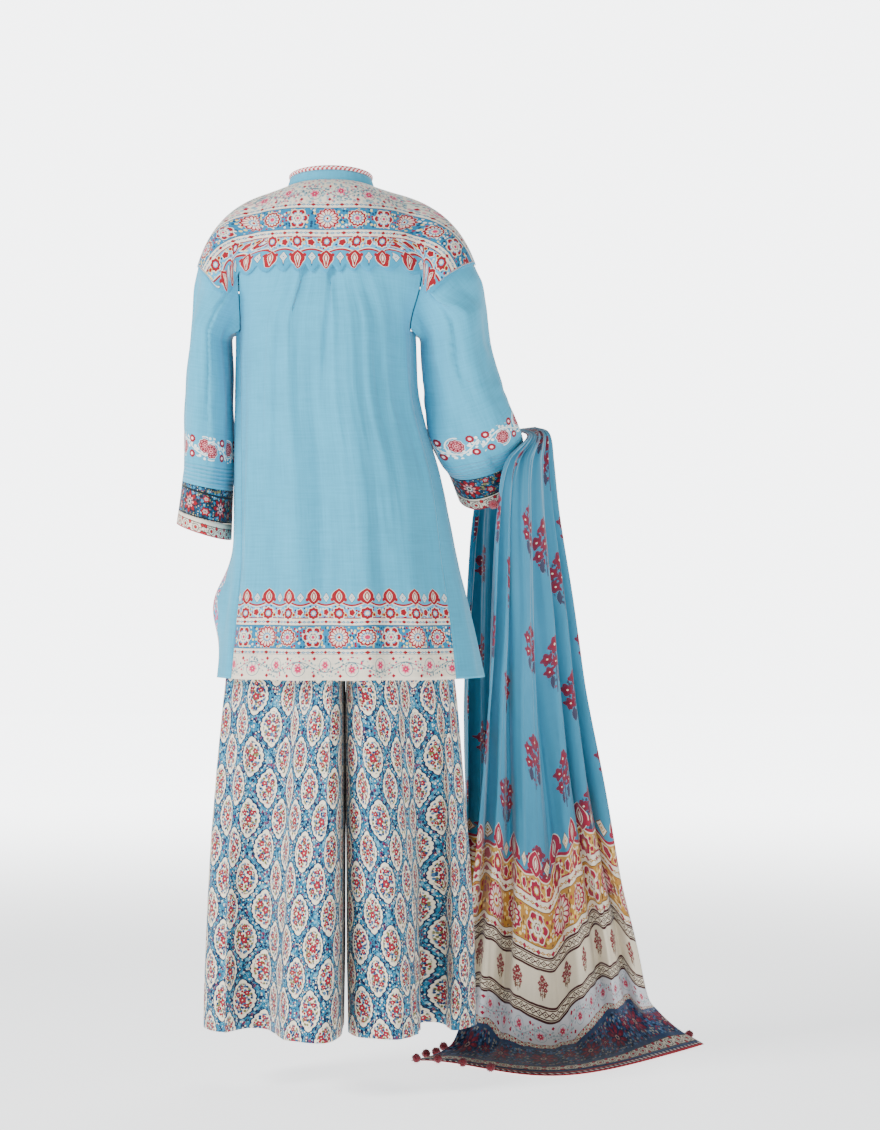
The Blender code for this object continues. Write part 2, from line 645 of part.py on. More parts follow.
# The sleeve's columns: the direction round the neck over the shoulder, or the place under the arm.
OVER_TURNS = (57.0, 60.5, 64.0, 70.0, 76.0, 83.0, 90.0, 94.2, 101.0, 108.0, 115.0, 121.0, 126.5)
UNDER_SHARES = (0.09, 0.18, 0.27, 0.36, 0.45, 0.55, 0.64, 0.73, 0.82, 0.91)
OVER_ANGLE = 105.0


def sleeve_columns():
    """Return the sleeve's columns in order: their angle, and where they start on the armhole."""
    columns = []
    for turn in OVER_TURNS:
        if turn <= 90.0:
            angle = OVER_ANGLE * (90.0 - turn) / (90.0 - ARMHOLE_BACK)
        else:
            angle = -OVER_ANGLE * (turn - 90.0) / (ARMHOLE_FRONT - 90.0)
        columns.append((angle, "over", turn))
    first = columns[0][0] - 360.0
    last = columns[-1][0]
    for share in UNDER_SHARES:
        columns.append((mix(last, first, share), "under", share))
    columns.append((first, "over", OVER_TURNS[0]))
    return columns


def armhole_point(side, kind, value):
    """Return the sleeve's top edge, just clear of the front, the back and the gore."""
    clear = Vector((SLEEVE_CLEAR * side, 0.0, 0.0))
    if kind == "over":
        turn = value if side > 0.0 else 360.0 - value
        tucked = value <= 90.0
        return shoulder_point(turn, SLEEVE_TUCKED_OUT if tucked else SLEEVE_UNTUCKED_OUT)
    rows = BODY_SECTIONS
    if value <= UNDER_CORNER:
        top = round_loop(SHOULDER_EDGE, ARMHOLE_FRONT * side).z
        return panel_edge(side, False, mix(top, UNDERARM_Z, value / UNDER_CORNER)) + clear
    if value >= 1.0 - UNDER_CORNER:
        top = round_loop(SHOULDER_EDGE, ARMHOLE_BACK * side).z
        return panel_edge(side, True, mix(top, UNDERARM_Z, (1.0 - value) / UNDER_CORNER)) + clear
    share = (value - UNDER_CORNER) / (1.0 - 2.0 * UNDER_CORNER)
    front = rows[0].seam_front_right if side > 0.0 else rows[0].seam_front_left
    back = rows[0].seam_back_right if side > 0.0 else rows[0].seam_back_left
    return body_section_point(UNDERARM_Z, mix(front, back, share)) + clear


def sleeve_point(rows, side, column, down):
    """Return a point of a sleeve: down is 0 at the armhole and 1 at its edge."""
    angle, kind, value = column
    first = rows[0].down
    if down >= first:
        return sleeve_section_point(rows, side, angle, down)
    start = armhole_point(side, kind, value)
    if kind == "over":
        turn = value if side > 0.0 else 360.0 - value
        before = shoulder_point(turn, BEFORE_ARMHOLE_OUT)
    else:
        before = start + Vector((-BEFORE_ARMHOLE_STEP * side, 0.0, BEFORE_ARMHOLE_STEP))
    second = rows[1].down
    keys = (BEFORE_ARMHOLE, 0.0, first, second)
    low = sleeve_section_point(rows, side, angle, first)
    lower = sleeve_section_point(rows, side, angle, second)
    points = (before, start, low, lower)
    return smooth_between(keys, points, down)


def make_sleeve(label, rows, side, blue, printed):
    """Make one sleeve, its printed cuff panel and the narrow border below it."""
    columns = sleeve_columns()
    steps = [0.0, 0.07, 0.15, rows[0].down, 0.36, 0.44, 0.52, 0.60, 0.68, 0.76, CUFF_START - CUFF_GAP]
    middle = mix(CUFF_START, CUFF_BORDER_START, 0.5)
    cuff_steps = [CUFF_START + CUFF_GAP, middle, CUFF_BORDER_START - CUFF_GAP]
    border_steps = [CUFF_BORDER_START + CUFF_GAP, 1.0]
    inside = sleeve_section_point(rows, side, 0.0, 0.5)
    inside = (inside + sleeve_section_point(rows, side, 180.0, 0.5)) * 0.5

    def place(column, down):
        return sleeve_point(rows, side, column, down)

    laid_cloth("sleeve_" + label, place, columns, steps, blue, inside)
    end = (sleeve_section_point(rows, side, 0.0, 0.93) + sleeve_section_point(rows, side, 180.0, 0.93)) * 0.5
    laid_cloth("cuff_panel_" + label, place, columns, cuff_steps, printed, end)
    laid_cloth("cuff_border_" + label, place, columns, border_steps, printed, end)


def leg_outline(z, side, count):
    """Return evenly spaced points of one leg's level section, from its inseam round the back."""
    middle = table_value(TROUSER_SECTIONS, "z", "middle_x", z)
    half_width = table_value(TROUSER_SECTIONS, "z", "half_width", z)
    back = table_value(TROUSER_SECTIONS, "z", "back_y", z)
    front = table_value(TROUSER_SECTIONS, "z", "front_y", z)
    share = min(max(table_value(TROUSER_SECTIONS, "z", "hem_share", z), 0.0), 1.0)
    top_z = TROUSER_SECTIONS[0].z
    split = mix(middle, TROUSER_MIDDLE_X, min((top_z - z) / (top_z - CROTCH_Z), 1.0))
    split += side * TROUSER_SPLIT_GAP
    start = math.degrees(math.asin((split - middle) * side / half_width))
    rise = min(max((z - CROTCH_Z) / CROTCH_RISE, 0.0), 1.0)
    spread_out = math.sqrt(1.0 - (1.0 - rise) ** 2)
    path = [Vector((split, mix(INSEAM_Y, back * math.cos(math.radians(start)), spread_out), z))]
    for degrees in spread(OUTLINE_STEPS, start, 180.0 - start):
        angle = math.radians(degrees)
        depth = -back if math.cos(angle) > 0.0 else front
        path.append(Vector((middle + side * half_width * math.sin(angle), -depth * math.cos(angle), z)))
    path.append(Vector((split, mix(INSEAM_Y, front * math.cos(math.radians(start)), spread_out), z)))
    reaches = [0.0]
    for before, after in zip(path, path[1:]):
        reaches.append(reaches[-1] + (after - before).length)
    hem = LEFT_HEM if side < 0.0 else RIGHT_HEM
    points = []
    for step in range(count + 1):
        along = step / count
        wanted = along * reaches[-1]
        index = max(place for place in range(len(path) - 1) if reaches[place] <= wanted)
        part = (wanted - reaches[index]) / max(reaches[index + 1] - reaches[index], 0.000001)
        point = mix(path[index], path[index + 1], min(part, 1.0))
        hem_x = table_value(hem, "along", "x", along)
        hem_y = table_value(hem, "along", "y", along)
        points.append(mix(point, Vector((hem_x, hem_y, z)), share))
    return points


def make_trousers(printed):
    """Make the two wide legs, each in one piece to the centre seams, and the waistband."""
    for name, side in (("trouser_leg_left", -1.0), ("trouser_leg_right", 1.0)):
        outlines = {z: leg_outline(z, side, LEG_COLUMNS) for z in LEG_HEIGHTS}

        def place(column, z, outlines=outlines):
            return outlines[z][column]

        inside = Vector((TROUSER_MIDDLE_X + side * 0.09, 0.0, -0.9))
        laid_cloth(name, place, range(LEG_COLUMNS + 1), LEG_HEIGHTS, printed, inside)

    top = TROUSER_SECTIONS[0]
    angles = spread(36, 0.0, 360.0)
    band = [WAIST_Z, top.z + SEAM_GAP]

    def place_band(angle, z):
        turn = math.radians(angle)
        depth = -top.back_y if math.cos(turn) > 0.0 else top.front_y
        return Vector((top.middle_x + top.half_width * math.sin(turn), -depth * math.cos(turn), z))

    laid_cloth("waistband", place_band, angles, band, printed, Vector((top.middle_x, 0.0, WAIST_Z)))


def fall_point(rows, count, across, down):
    """Return a point of a fall of the dupatta, with its long soft folds."""
    def level(at):
        elbow = Vector([table_value(rows, "down", name, at) for name in ("elbow_x", "elbow_y", "elbow_z")])
        hand = Vector([table_value(rows, "down", name, at) for name in ("hand_x", "hand_y", "hand_z")])
        return elbow, hand

    def straight(at, share):
        elbow, hand = level(at)
        bow = table_value(rows, "down", "bow_y", at) * abs(math.sin(math.pi * share)) ** (2.0 - share)
        return mix(elbow, hand, share) + Vector((0.0, bow, 0.0))

    travel = straight(down + SLOPE_STEP, across) - straight(down - SLOPE_STEP, across)
    aside = straight(down, across + SLOPE_STEP) - straight(down, across - SLOPE_STEP)
    proud = travel.cross(aside).normalized()
    wave = 2.0 * math.pi * (count * across + 0.35 * math.sin(2.2 * math.pi * across) + 0.4 * down)
    height = table_value(rows, "down", "fold", down) * (math.sin(wave) + 0.25 * math.sin(2.0 * wave + 0.8))
    return straight(down, across) + proud * height


def make_dupatta(sheer, striped):
    """Make the two falls of the dupatta, from the top of the forearm to its two trimmed ends."""
    middle = Vector((0.30, 0.20, -0.9))
    near_steps = [*NEAR_STEPS, NEAR_TRIM - NEAR_TRIM_GAP]
    near_end = [NEAR_TRIM + NEAR_TRIM_GAP, 1.0]
    far_steps = [*FAR_STEPS, FAR_TRIM - FAR_TRIM_GAP]
    far_end = [FAR_TRIM + FAR_TRIM_GAP, 1.0]

    def place_near(across, down):
        return fall_point(NEAR_FALL, NEAR_FOLD_COUNT, across, down)

    def place_far(across, down):
        return fall_point(FAR_FALL, FAR_FOLD_COUNT, across, down)

    near_across = spread(NEAR_COLUMNS)
    far_across = spread(FAR_COLUMNS)
    laid_cloth("dupatta_near_fall", place_near, near_across, near_steps, sheer, middle)
    laid_cloth("dupatta_far_fall", place_far, far_across, far_steps, sheer, middle)
    laid_cloth("dupatta_near_trim", place_near, near_across, near_end, striped, middle)
    laid_cloth("dupatta_far_trim", place_far, far_across, far_end, striped, middle)


def make_pompom(name, centre, wool):
    """Make one round wool pompom."""
    ball = bmesh.new()
    bmesh.ops.create_icosphere(ball, subdivisions=2, radius=POMPOM_RADIUS)
    bmesh.ops.translate(ball, verts=ball.verts, vec=centre)
    mesh = bpy.data.meshes.new(name)
    ball.to_mesh(mesh)
    ball.free()
    mesh.shade_smooth()
    mesh.materials.append(wool)
    pompom = bpy.data.objects.new(name, mesh)
    SUIT.objects.link(pompom)


def beside_edge(rows, count, across, down, along, outwards):
    """Return the centre of a pompom that sits against an edge of a fall.

    along is a small step along that edge and outwards one off the cloth, both as (across, down).
    """
    edge = fall_point(rows, count, across, down)
    line = fall_point(rows, count, across + along[0], down + along[1]) - edge
    away = fall_point(rows, count, across - outwards[0], down - outwards[1]) - edge
    away = -(away - line * (away.dot(line) / line.length_squared))
    away.z = 0.0
    away.normalize()
    reach = POMPOM_RADIUS + 2.0 * SEAM_GAP
    height = max(edge.z, FLOOR_Z + POMPOM_RADIUS) - edge.z
    return edge + away * math.sqrt(reach ** 2 - height ** 2) + Vector((0.0, 0.0, height))


def make_pompoms(wool):
    """Make the pompoms on the dupatta's two ends and along its edge."""
    near = (NEAR_FALL, NEAR_FOLD_COUNT)
    step = POMPOM_STEP
    places = [beside_edge(*near, across, 1.0, (step, 0.0), (0.0, step)) for across in NEAR_POMPOMS]
    places += [beside_edge(*near, 0.0, down, (0.0, step), (-step, 0.0)) for down in ELBOW_EDGE_POMPOMS]
    places += [beside_edge(*near, 1.0, down, (0.0, -step), (step, 0.0)) for down in HAND_EDGE_POMPOMS]
    places.append(beside_edge(*near, 0.0, FALL_POMPOM_DOWN, (0.0, step), (-step, 0.0)))
    for across in FAR_POMPOMS:
        edge = fall_point(FAR_FALL, FAR_FOLD_COUNT, across, 1.0)
        places.append(edge + Vector((0.0, 0.0, -POMPOM_RADIUS - SEAM_GAP)))
    for number, centre in enumerate(places, start=1):
        make_pompom(f"pompom_{number:02d}", centre, wool)


clear_scene()
SUIT = bpy.data.collections.new("salwar_kameez_suit")
bpy.context.scene.collection.children.link(SUIT)

BLUE = cloth_material("kameez_cloth", BLUE_COTTON)
YOKE = cloth_material("yoke_print", PRINTED_YOKE)
STRIPED = cloth_material("striped_trim", STRIPED_PIPING)
CUFF = cloth_material("cuff_print", PRINTED_CUFF)
TROUSER = cloth_material("trouser_print", PRINTED_TROUSER)
SHEER = cloth_material("dupatta_cloth", SHEER_COTTON)
WOOL = cloth_material("pompom_wool", RED_WOOL)

make_collar(BLUE, STRIPED)
make_back_yoke(YOKE)
make_back_panel(BLUE)
make_front_panel(BLUE)
make_side_panels(BLUE)
make_sleeve("left", LEFT_SLEEVE, -1.0, BLUE, CUFF)
make_sleeve("right", RIGHT_SLEEVE, 1.0, BLUE, CUFF)
make_trousers(TROUSER)
make_dupatta(SHEER, STRIPED)
make_pompoms(WOOL)
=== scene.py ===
"""Looks of a salwar kameez suit in its worn form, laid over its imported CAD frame.

The kameez, the wide trousers and the dupatta are built again as thin cloth on the same surfaces as
the solids, with finer folds and creases, and dressed with woven, block-printed and embroidered
finishes. Metres, +Z up, the back of the suit towards -Y, the wearer's right towards +X.
"""

import logging
import math
from bisect import bisect_right
from dataclasses import dataclass, field
from enum import Enum
from typing import Callable, NamedTuple, Sequence

import bmesh
import bpy
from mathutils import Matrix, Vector, noise

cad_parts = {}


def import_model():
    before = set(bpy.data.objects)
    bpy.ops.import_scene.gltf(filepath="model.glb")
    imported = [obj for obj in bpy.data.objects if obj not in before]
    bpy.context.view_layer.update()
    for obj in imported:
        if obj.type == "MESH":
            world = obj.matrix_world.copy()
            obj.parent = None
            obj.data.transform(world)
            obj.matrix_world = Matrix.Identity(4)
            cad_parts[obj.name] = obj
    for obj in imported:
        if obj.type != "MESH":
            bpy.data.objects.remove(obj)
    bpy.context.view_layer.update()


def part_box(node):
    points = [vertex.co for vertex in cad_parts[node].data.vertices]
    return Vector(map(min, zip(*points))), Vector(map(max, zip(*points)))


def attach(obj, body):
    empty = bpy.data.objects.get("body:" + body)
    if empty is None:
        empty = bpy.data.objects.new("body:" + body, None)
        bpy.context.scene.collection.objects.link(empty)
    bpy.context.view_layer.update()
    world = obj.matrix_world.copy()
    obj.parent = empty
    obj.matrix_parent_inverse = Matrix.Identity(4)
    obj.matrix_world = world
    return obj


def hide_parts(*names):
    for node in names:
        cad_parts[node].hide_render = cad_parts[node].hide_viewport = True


LOG = logging.getLogger("suit")
BODY = "root"


class Side(Enum):
    """The wearer's left or right, with the sign of its X."""

    LEFT = -1.0
    RIGHT = 1.0

    @property
    def label(self) -> str:
        """Return the word that the CAD nodes use."""
        return self.name.lower()


class Held(Enum):
    DRAPED = "draped"
    HUNG = "hung"


class LoopPoint(NamedTuple):
    """A point of a loop round the neck, by its direction in degrees: 0 back, 90 right, 180 front."""

    turn: float
    x: float
    y: float
    z: float


class BodySection(NamedTuple):
    """A level section of the kameez, with the directions of its four side seams in degrees."""

    z: float
    middle_x: float
    half_width: float
    back_y: float
    front_y: float
    seam_back_right: float
    seam_front_right: float
    seam_front_left: float
    seam_back_left: float


class Fold(NamedTuple):
    """A soft fold: its place across a panel at the top and the hem, how proud and how wide."""

    top: float
    hem: float
    proud_top: float
    proud_hem: float
    wide_top: float
    wide_hem: float


class SleeveSection(NamedTuple):
    """A sleeve section: its outer and inner ends, and its reach behind and in front."""

    down: float
    outer_x: float
    outer_y: float
    outer_z: float
    inner_x: float
    inner_y: float
    inner_z: float
    back: float
    front: float


class TrouserSection(NamedTuple):
    """A level section of both trouser legs together."""

    z: float
    middle_x: float
    half_width: float
    back_y: float
    front_y: float
    hem_share: float


class HemPoint(NamedTuple):
    """A point of a trouser hem in plan, by its share of the way round."""

    along: float
    x: float
    y: float


class FallSection(NamedTuple):
    """A section of a fall of the dupatta: its two edges, its bow and its fold depth."""

    down: float
    elbow_x: float
    elbow_y: float
    elbow_z: float
    hand_x: float
    hand_y: float
    hand_z: float
    bow_y: float
    fold: float


def rows_of(kind: type, *rows: Sequence[float]) -> tuple:
    """Return the rows of a table, each as one of its kind."""
    return tuple(kind(*row) for row in rows)


# The edge of the shoulder part: the yoke's lower edge, its ends on the sleeves, and the chest.
SHOULDER_EDGE = rows_of(
    LoopPoint,
    (0.0, -0.007, -0.118, -0.108),
    (30.0, 0.060, -0.114, -0.107),
    (47.0, 0.118, -0.092, -0.108),
    (55.0, 0.143, -0.074, -0.119),
    (66.0, 0.158, -0.086, -0.150),
    (78.0, 0.190, -0.078, -0.122),
    (90.0, 0.225, -0.030, -0.100),
    (104.0, 0.222, 0.036, -0.104),
    (118.0, 0.178, 0.078, -0.135),
    (128.0, 0.140, 0.082, -0.125),
    (150.0, 0.075, 0.118, -0.118),
    (180.0, 0.000, 0.130, -0.116),
    (210.0, -0.080, 0.118, -0.118),
    (232.0, -0.140, 0.082, -0.125),
    (242.0, -0.172, 0.078, -0.135),
    (256.0, -0.206, 0.040, -0.104),
    (270.0, -0.216, -0.022, -0.102),
    (282.0, -0.201, -0.070, -0.122),
    (294.0, -0.174, -0.086, -0.151),
    (305.0, -0.148, -0.074, -0.116),
    (313.0, -0.125, -0.092, -0.109),
    (330.0, -0.075, -0.114, -0.107),
)

# How far the shoulders stand off the straight line from the neck to that edge.
SHOULDER_ROUND = rows_of(
    LoopPoint,
    (0.0, -0.005, -0.112, 0.004),
    (30.0, 0.056, -0.108, 0.008),
    (55.0, 0.130, -0.072, -0.004),
    (78.0, 0.180, -0.034, 0.002),
    (96.0, 0.192, 0.004, 0.008),
    (128.0, 0.140, 0.072, -0.016),
    (150.0, 0.070, 0.096, -0.030),
    (180.0, 0.000, 0.104, -0.040),
    (210.0, -0.070, 0.096, -0.030),
    (232.0, -0.140, 0.072, -0.016),
    (264.0, -0.184, 0.006, 0.008),
    (282.0, -0.176, -0.032, 0.002),
    (305.0, -0.132, -0.072, -0.004),
    (330.0, -0.062, -0.108, 0.008),
)

# Level sections of the kameez from under the arms to the hem.
BODY_SECTIONS = rows_of(
    BodySection,
    (-0.205, -0.012, 0.143, -0.126, 0.140, 72.0, 106.0, 254.0, 290.0),
    (-0.316, -0.009, 0.146, -0.131, 0.143, 70.0, 108.0, 252.0, 291.0),
    (-0.445, 0.008, 0.166, -0.138, 0.146, 65.0, 112.0, 248.0, 294.0),
    (-0.575, 0.019, 0.182, -0.147, 0.152, 59.0, 116.0, 244.0, 297.0),
    (-0.680, 0.0245, 0.2015, -0.156, 0.162, 55.0, 119.0, 241.0, 299.0),
    (-0.764, 0.028, 0.216, -0.164, 0.170, 52.0, 121.0, 239.0, 300.0),
)

# Soft folds of the back and of the front.
BACK_FOLDS = rows_of(
    Fold,
    (0.10, 0.07, 0.001, 0.006, 0.03, 0.06),
    (0.25, 0.21, 0.000, -0.006, 0.04, 0.06),
    (0.35, 0.33, 0.006, 0.010, 0.022, 0.06),
    (0.44, 0.45, -0.002, -0.008, 0.03, 0.05),
    (0.53, 0.57, 0.006, 0.009, 0.022, 0.06),
    (0.66, 0.69, -0.001, -0.006, 0.04, 0.05),
    (0.80, 0.81, 0.002, 0.008, 0.04, 0.05),
    (0.93, 0.94, -0.001, -0.003, 0.03, 0.04),
)
FRONT_FOLDS = rows_of(
    Fold,
    (0.12, 0.09, 0.001, 0.007, 0.04, 0.06),
    (0.27, 0.24, 0.000, -0.006, 0.04, 0.06),
    (0.40, 0.37, 0.002, 0.009, 0.04, 0.06),
    (0.52, 0.50, -0.001, -0.006, 0.04, 0.05),
    (0.63, 0.65, 0.001, 0.008, 0.04, 0.06),
    (0.78, 0.79, 0.000, -0.005, 0.04, 0.05),
    (0.90, 0.91, 0.001, 0.006, 0.04, 0.05),
)

# Sections of the two sleeves.
LEFT_SLEEVE = rows_of(
    SleeveSection,
    (0.28, -0.227, 0.000, -0.186, -0.166, 0.000, -0.222, 0.084, 0.080),
    (0.42, -0.233, 0.004, -0.251, -0.163, 0.004, -0.270, 0.086, 0.086),
    (0.58, -0.237, 0.008, -0.316, -0.163, 0.008, -0.330, 0.086, 0.088),
    (0.72, -0.241, 0.012, -0.381, -0.163, 0.012, -0.394, 0.086, 0.090),
    (0.86, -0.2446, 0.016, -0.4455, -0.164, 0.016, -0.462, 0.087, 0.092),
    (1.00, -0.254, 0.020, -0.514, -0.167, 0.020, -0.542, 0.088, 0.094),
)
RIGHT_SLEEVE = rows_of(
    SleeveSection,
    (0.24, 0.248, 0.004, -0.165, 0.146, 0.004, -0.222, 0.078, 0.074),
    (0.38, 0.260, 0.006, -0.235, 0.149, 0.004, -0.272, 0.074, 0.076),
    (0.52, 0.279, 0.010, -0.300, 0.155, 0.002, -0.330, 0.070, 0.080),
    (0.66, 0.295, 0.020, -0.345, 0.160, -0.004, -0.378, 0.062, 0.086),
    (0.78, 0.300, 0.038, -0.372, 0.181, -0.004, -0.422, 0.054, 0.086),
    (0.88, 0.299, 0.056, -0.394, 0.201, 0.004, -0.448, 0.046, 0.072),
    (1.00, 0.296, 0.084, -0.424, 0.226, 0.022, -0.492, 0.040, 0.062),
)

# Level sections of the trousers, and their two hems in plan.
TROUSER_SECTIONS = rows_of(
    TrouserSection,
    (-0.420, 0.002, 0.134, -0.106, 0.104, 0.00),
    (-0.500, 0.007, 0.152, -0.126, 0.112, 0.00),
    (-0.580, 0.012, 0.163, -0.1411, 0.120, 0.02),
    (-0.660, 0.012, 0.171, -0.140, 0.126, 0.08),
    (-0.760, 0.010, 0.180, -0.139, 0.132, 0.20),
    (-0.950, 0.010, 0.194, -0.138, 0.134, 0.48),
    (-1.150, 0.010, 0.206, -0.138, 0.136, 0.76),
    (-1.335, 0.010, 0.214, -0.138, 0.138, 1.00),
)
LEFT_HEM = rows_of(
    HemPoint,
    (0.000, 0.0150, 0.010),
    (0.100, 0.0120, -0.080),
    (0.165, -0.012, -0.146),
    (0.235, -0.076, -0.112),
    (0.310, -0.112, -0.010),
    (0.360, -0.142, -0.002),
    (0.420, -0.172, -0.046),
    (0.485, -0.214, 0.010),
    (0.560, -0.212, 0.082),
    (0.620, -0.176, 0.116),
    (0.680, -0.146, 0.082),
    (0.730, -0.116, 0.088),
    (0.800, -0.078, 0.140),
    (0.860, -0.028, 0.134),
    (0.920, 0.0110, 0.094),
    (1.000, 0.0150, 0.010),
)
RIGHT_HEM = rows_of(
    HemPoint,
    (0.000, 0.0250, 0.010),
    (0.090, 0.0280, -0.040),
    (0.150, 0.050, -0.088),
    (0.220, 0.108, -0.112),
    (0.290, 0.140, -0.052),
    (0.350, 0.146, 0.042),
    (0.390, 0.166, 0.050),
    (0.450, 0.196, -0.016),
    (0.520, 0.236, 0.040),
    (0.590, 0.222, 0.110),
    (0.650, 0.182, 0.136),
    (0.710, 0.150, 0.098),
    (0.760, 0.122, 0.096),
    (0.830, 0.086, 0.142),
    (0.910, 0.0290, 0.106),
    (1.000, 0.0250, 0.010),
)

# Sections of the dupatta's two falls.
NEAR_FALL = rows_of(
    FallSection,
    (0.00, 0.292, 0.066, -0.361, 0.334, 0.204, -0.350, 0.000, 0.000),
    (0.03, 0.3145, 0.0155, -0.374, 0.356, 0.188, -0.362, -0.012, 0.001),
    (0.07, 0.2784, -0.0445, -0.414, 0.362, 0.182, -0.410, -0.030, 0.004),
    (0.14, 0.263, -0.046, -0.485, 0.370, 0.184, -0.500, -0.036, 0.007),
    (0.25, 0.254, 0.004, -0.653, 0.392, 0.196, -0.653, -0.030, 0.011),
    (0.38, 0.246, 0.086, -0.809, 0.417, 0.214, -0.812, -0.020, 0.013),
    (0.58, 0.232, 0.196, -1.065, 0.470, 0.232, -1.075, -0.010, 0.016),
    (0.74, 0.216, 0.270, -1.262, 0.512, 0.270, -1.238, -0.012, 0.018),
    (0.82, 0.206, 0.314, -1.366, 0.534, 0.322, -1.330, -0.020, 0.015),
    (0.87, 0.192, 0.322, -1.410, 0.556, 0.372, -1.362, -0.060, 0.006),
    (0.92, 0.172, 0.300, -1.424, 0.592, 0.400, -1.396, -0.120, 0.001),
    (1.00, 0.124, 0.246, -1.4272, 0.638, 0.420, -1.4272, -0.230, 0.000),
)
FAR_FALL = rows_of(
    FallSection,
    (0.00, 0.2912, 0.0664, -0.361, 0.3332, 0.2044, -0.350, 0.000, 0.000),
    (0.03, 0.268, 0.100, -0.376, 0.304, 0.226, -0.364, 0.004, 0.001),
    (0.08, 0.238, 0.124, -0.430, 0.286, 0.238, -0.430, 0.006, 0.004),
    (0.30, 0.218, 0.170, -0.660, 0.300, 0.272, -0.660, 0.006, 0.008),
    (0.60, 0.214, 0.258, -0.980, 0.330, 0.318, -0.980, 0.006, 0.010),
    (1.00, 0.205, 0.372, -1.405, 0.372, 0.392, -1.405, 0.006, 0.013),
)


def mix(low, high, share: float):
    """Return the value that lies this share of the way from low to high."""
    return low + (high - low) * share


def ease(value: float) -> float:
    """Return a share clamped from 0 to 1 with soft ends."""
    value = min(max(value, 0.0), 1.0)
    return value * value * (3.0 - 2.0 * value)


def spread(count: int, low: float = 0.0, high: float = 1.0) -> list[float]:
    """Return count + 1 evenly spaced values from low to high."""
    return [mix(low, high, step / count) for step in range(count + 1)]


def through(keys: Sequence[float], values: Sequence, at: float):
    """Return the value of a smooth curve through keyed numbers or points.

    Args:
        keys: Rising keys.
        values: A number or point for each key.
        at: Where to read the curve; it is held at its ends.

    Returns:
        The number or point there.
    """
    last = len(keys) - 1
    at = min(max(at, keys[0]), keys[last])
    index = min(bisect_right(keys, at) - 1, last - 1)
    span = keys[index + 1] - keys[index]
    part = (at - keys[index]) / span
    before = max(index - 1, 0)
    after = min(index + 2, last)
    leave = (values[index + 1] - values[before]) * (span / (keys[index + 1] - keys[before]))
    arrive = (values[after] - values[index]) * (span / (keys[after] - keys[index]))
    square = part * part
    cube = square * part
    start = values[index] * (2.0 * cube - 3.0 * square + 1.0)
    end = values[index + 1] * (3.0 * square - 2.0 * cube)
    return start + end + leave * (cube - 2.0 * square + part) + arrive * (cube - square)


class Table:
    """Rows of sizes that are read as smooth curves of one key column."""

    def __init__(self, rows: Sequence[NamedTuple], key: str) -> None:
        """Sort the columns by the key.

        Args:
            rows: Rows of one named tuple type.
            key: The name of the key column.
        """
        self.falling = getattr(rows[0], key) > getattr(rows[-1], key)
        self.columns = {name: [getattr(row, name) for row in rows] for name in rows[0]._fields}
        self.keys = [-value if self.falling else value for value in self.columns[key]]

    def at(self, column: str, value: float) -> float:
        """Return a column at a value of the key."""
        return through(self.keys, self.columns[column], -value if self.falling else value)

    def point(self, prefix: str, value: float) -> Vector:
        """Return the point held in the columns prefix_x, prefix_y and prefix_z."""
        return Vector([self.at(prefix + axis, value) for axis in ("_x", "_y", "_z")])


class Loop:
    """A closed loop of points by their direction round the neck."""

    def __init__(self, rows: Sequence[LoopPoint]) -> None:
        """Repeat two rows at each end, so that the curve closes smoothly."""
        turns = [row.turn for row in rows]
        points = [Vector((row.x, row.y, row.z)) for row in rows]
        self.keys = [turns[-2] - 360.0, turns[-1] - 360.0, *turns, turns[0] + 360.0, turns[1] + 360.0]
        self.points = [points[-2], points[-1], *points, points[0], points[1]]

    def at(self, turn: float) -> Vector:
        """Return the point in a direction in degrees."""
        return through(self.keys, self.points, turn % 360.0)


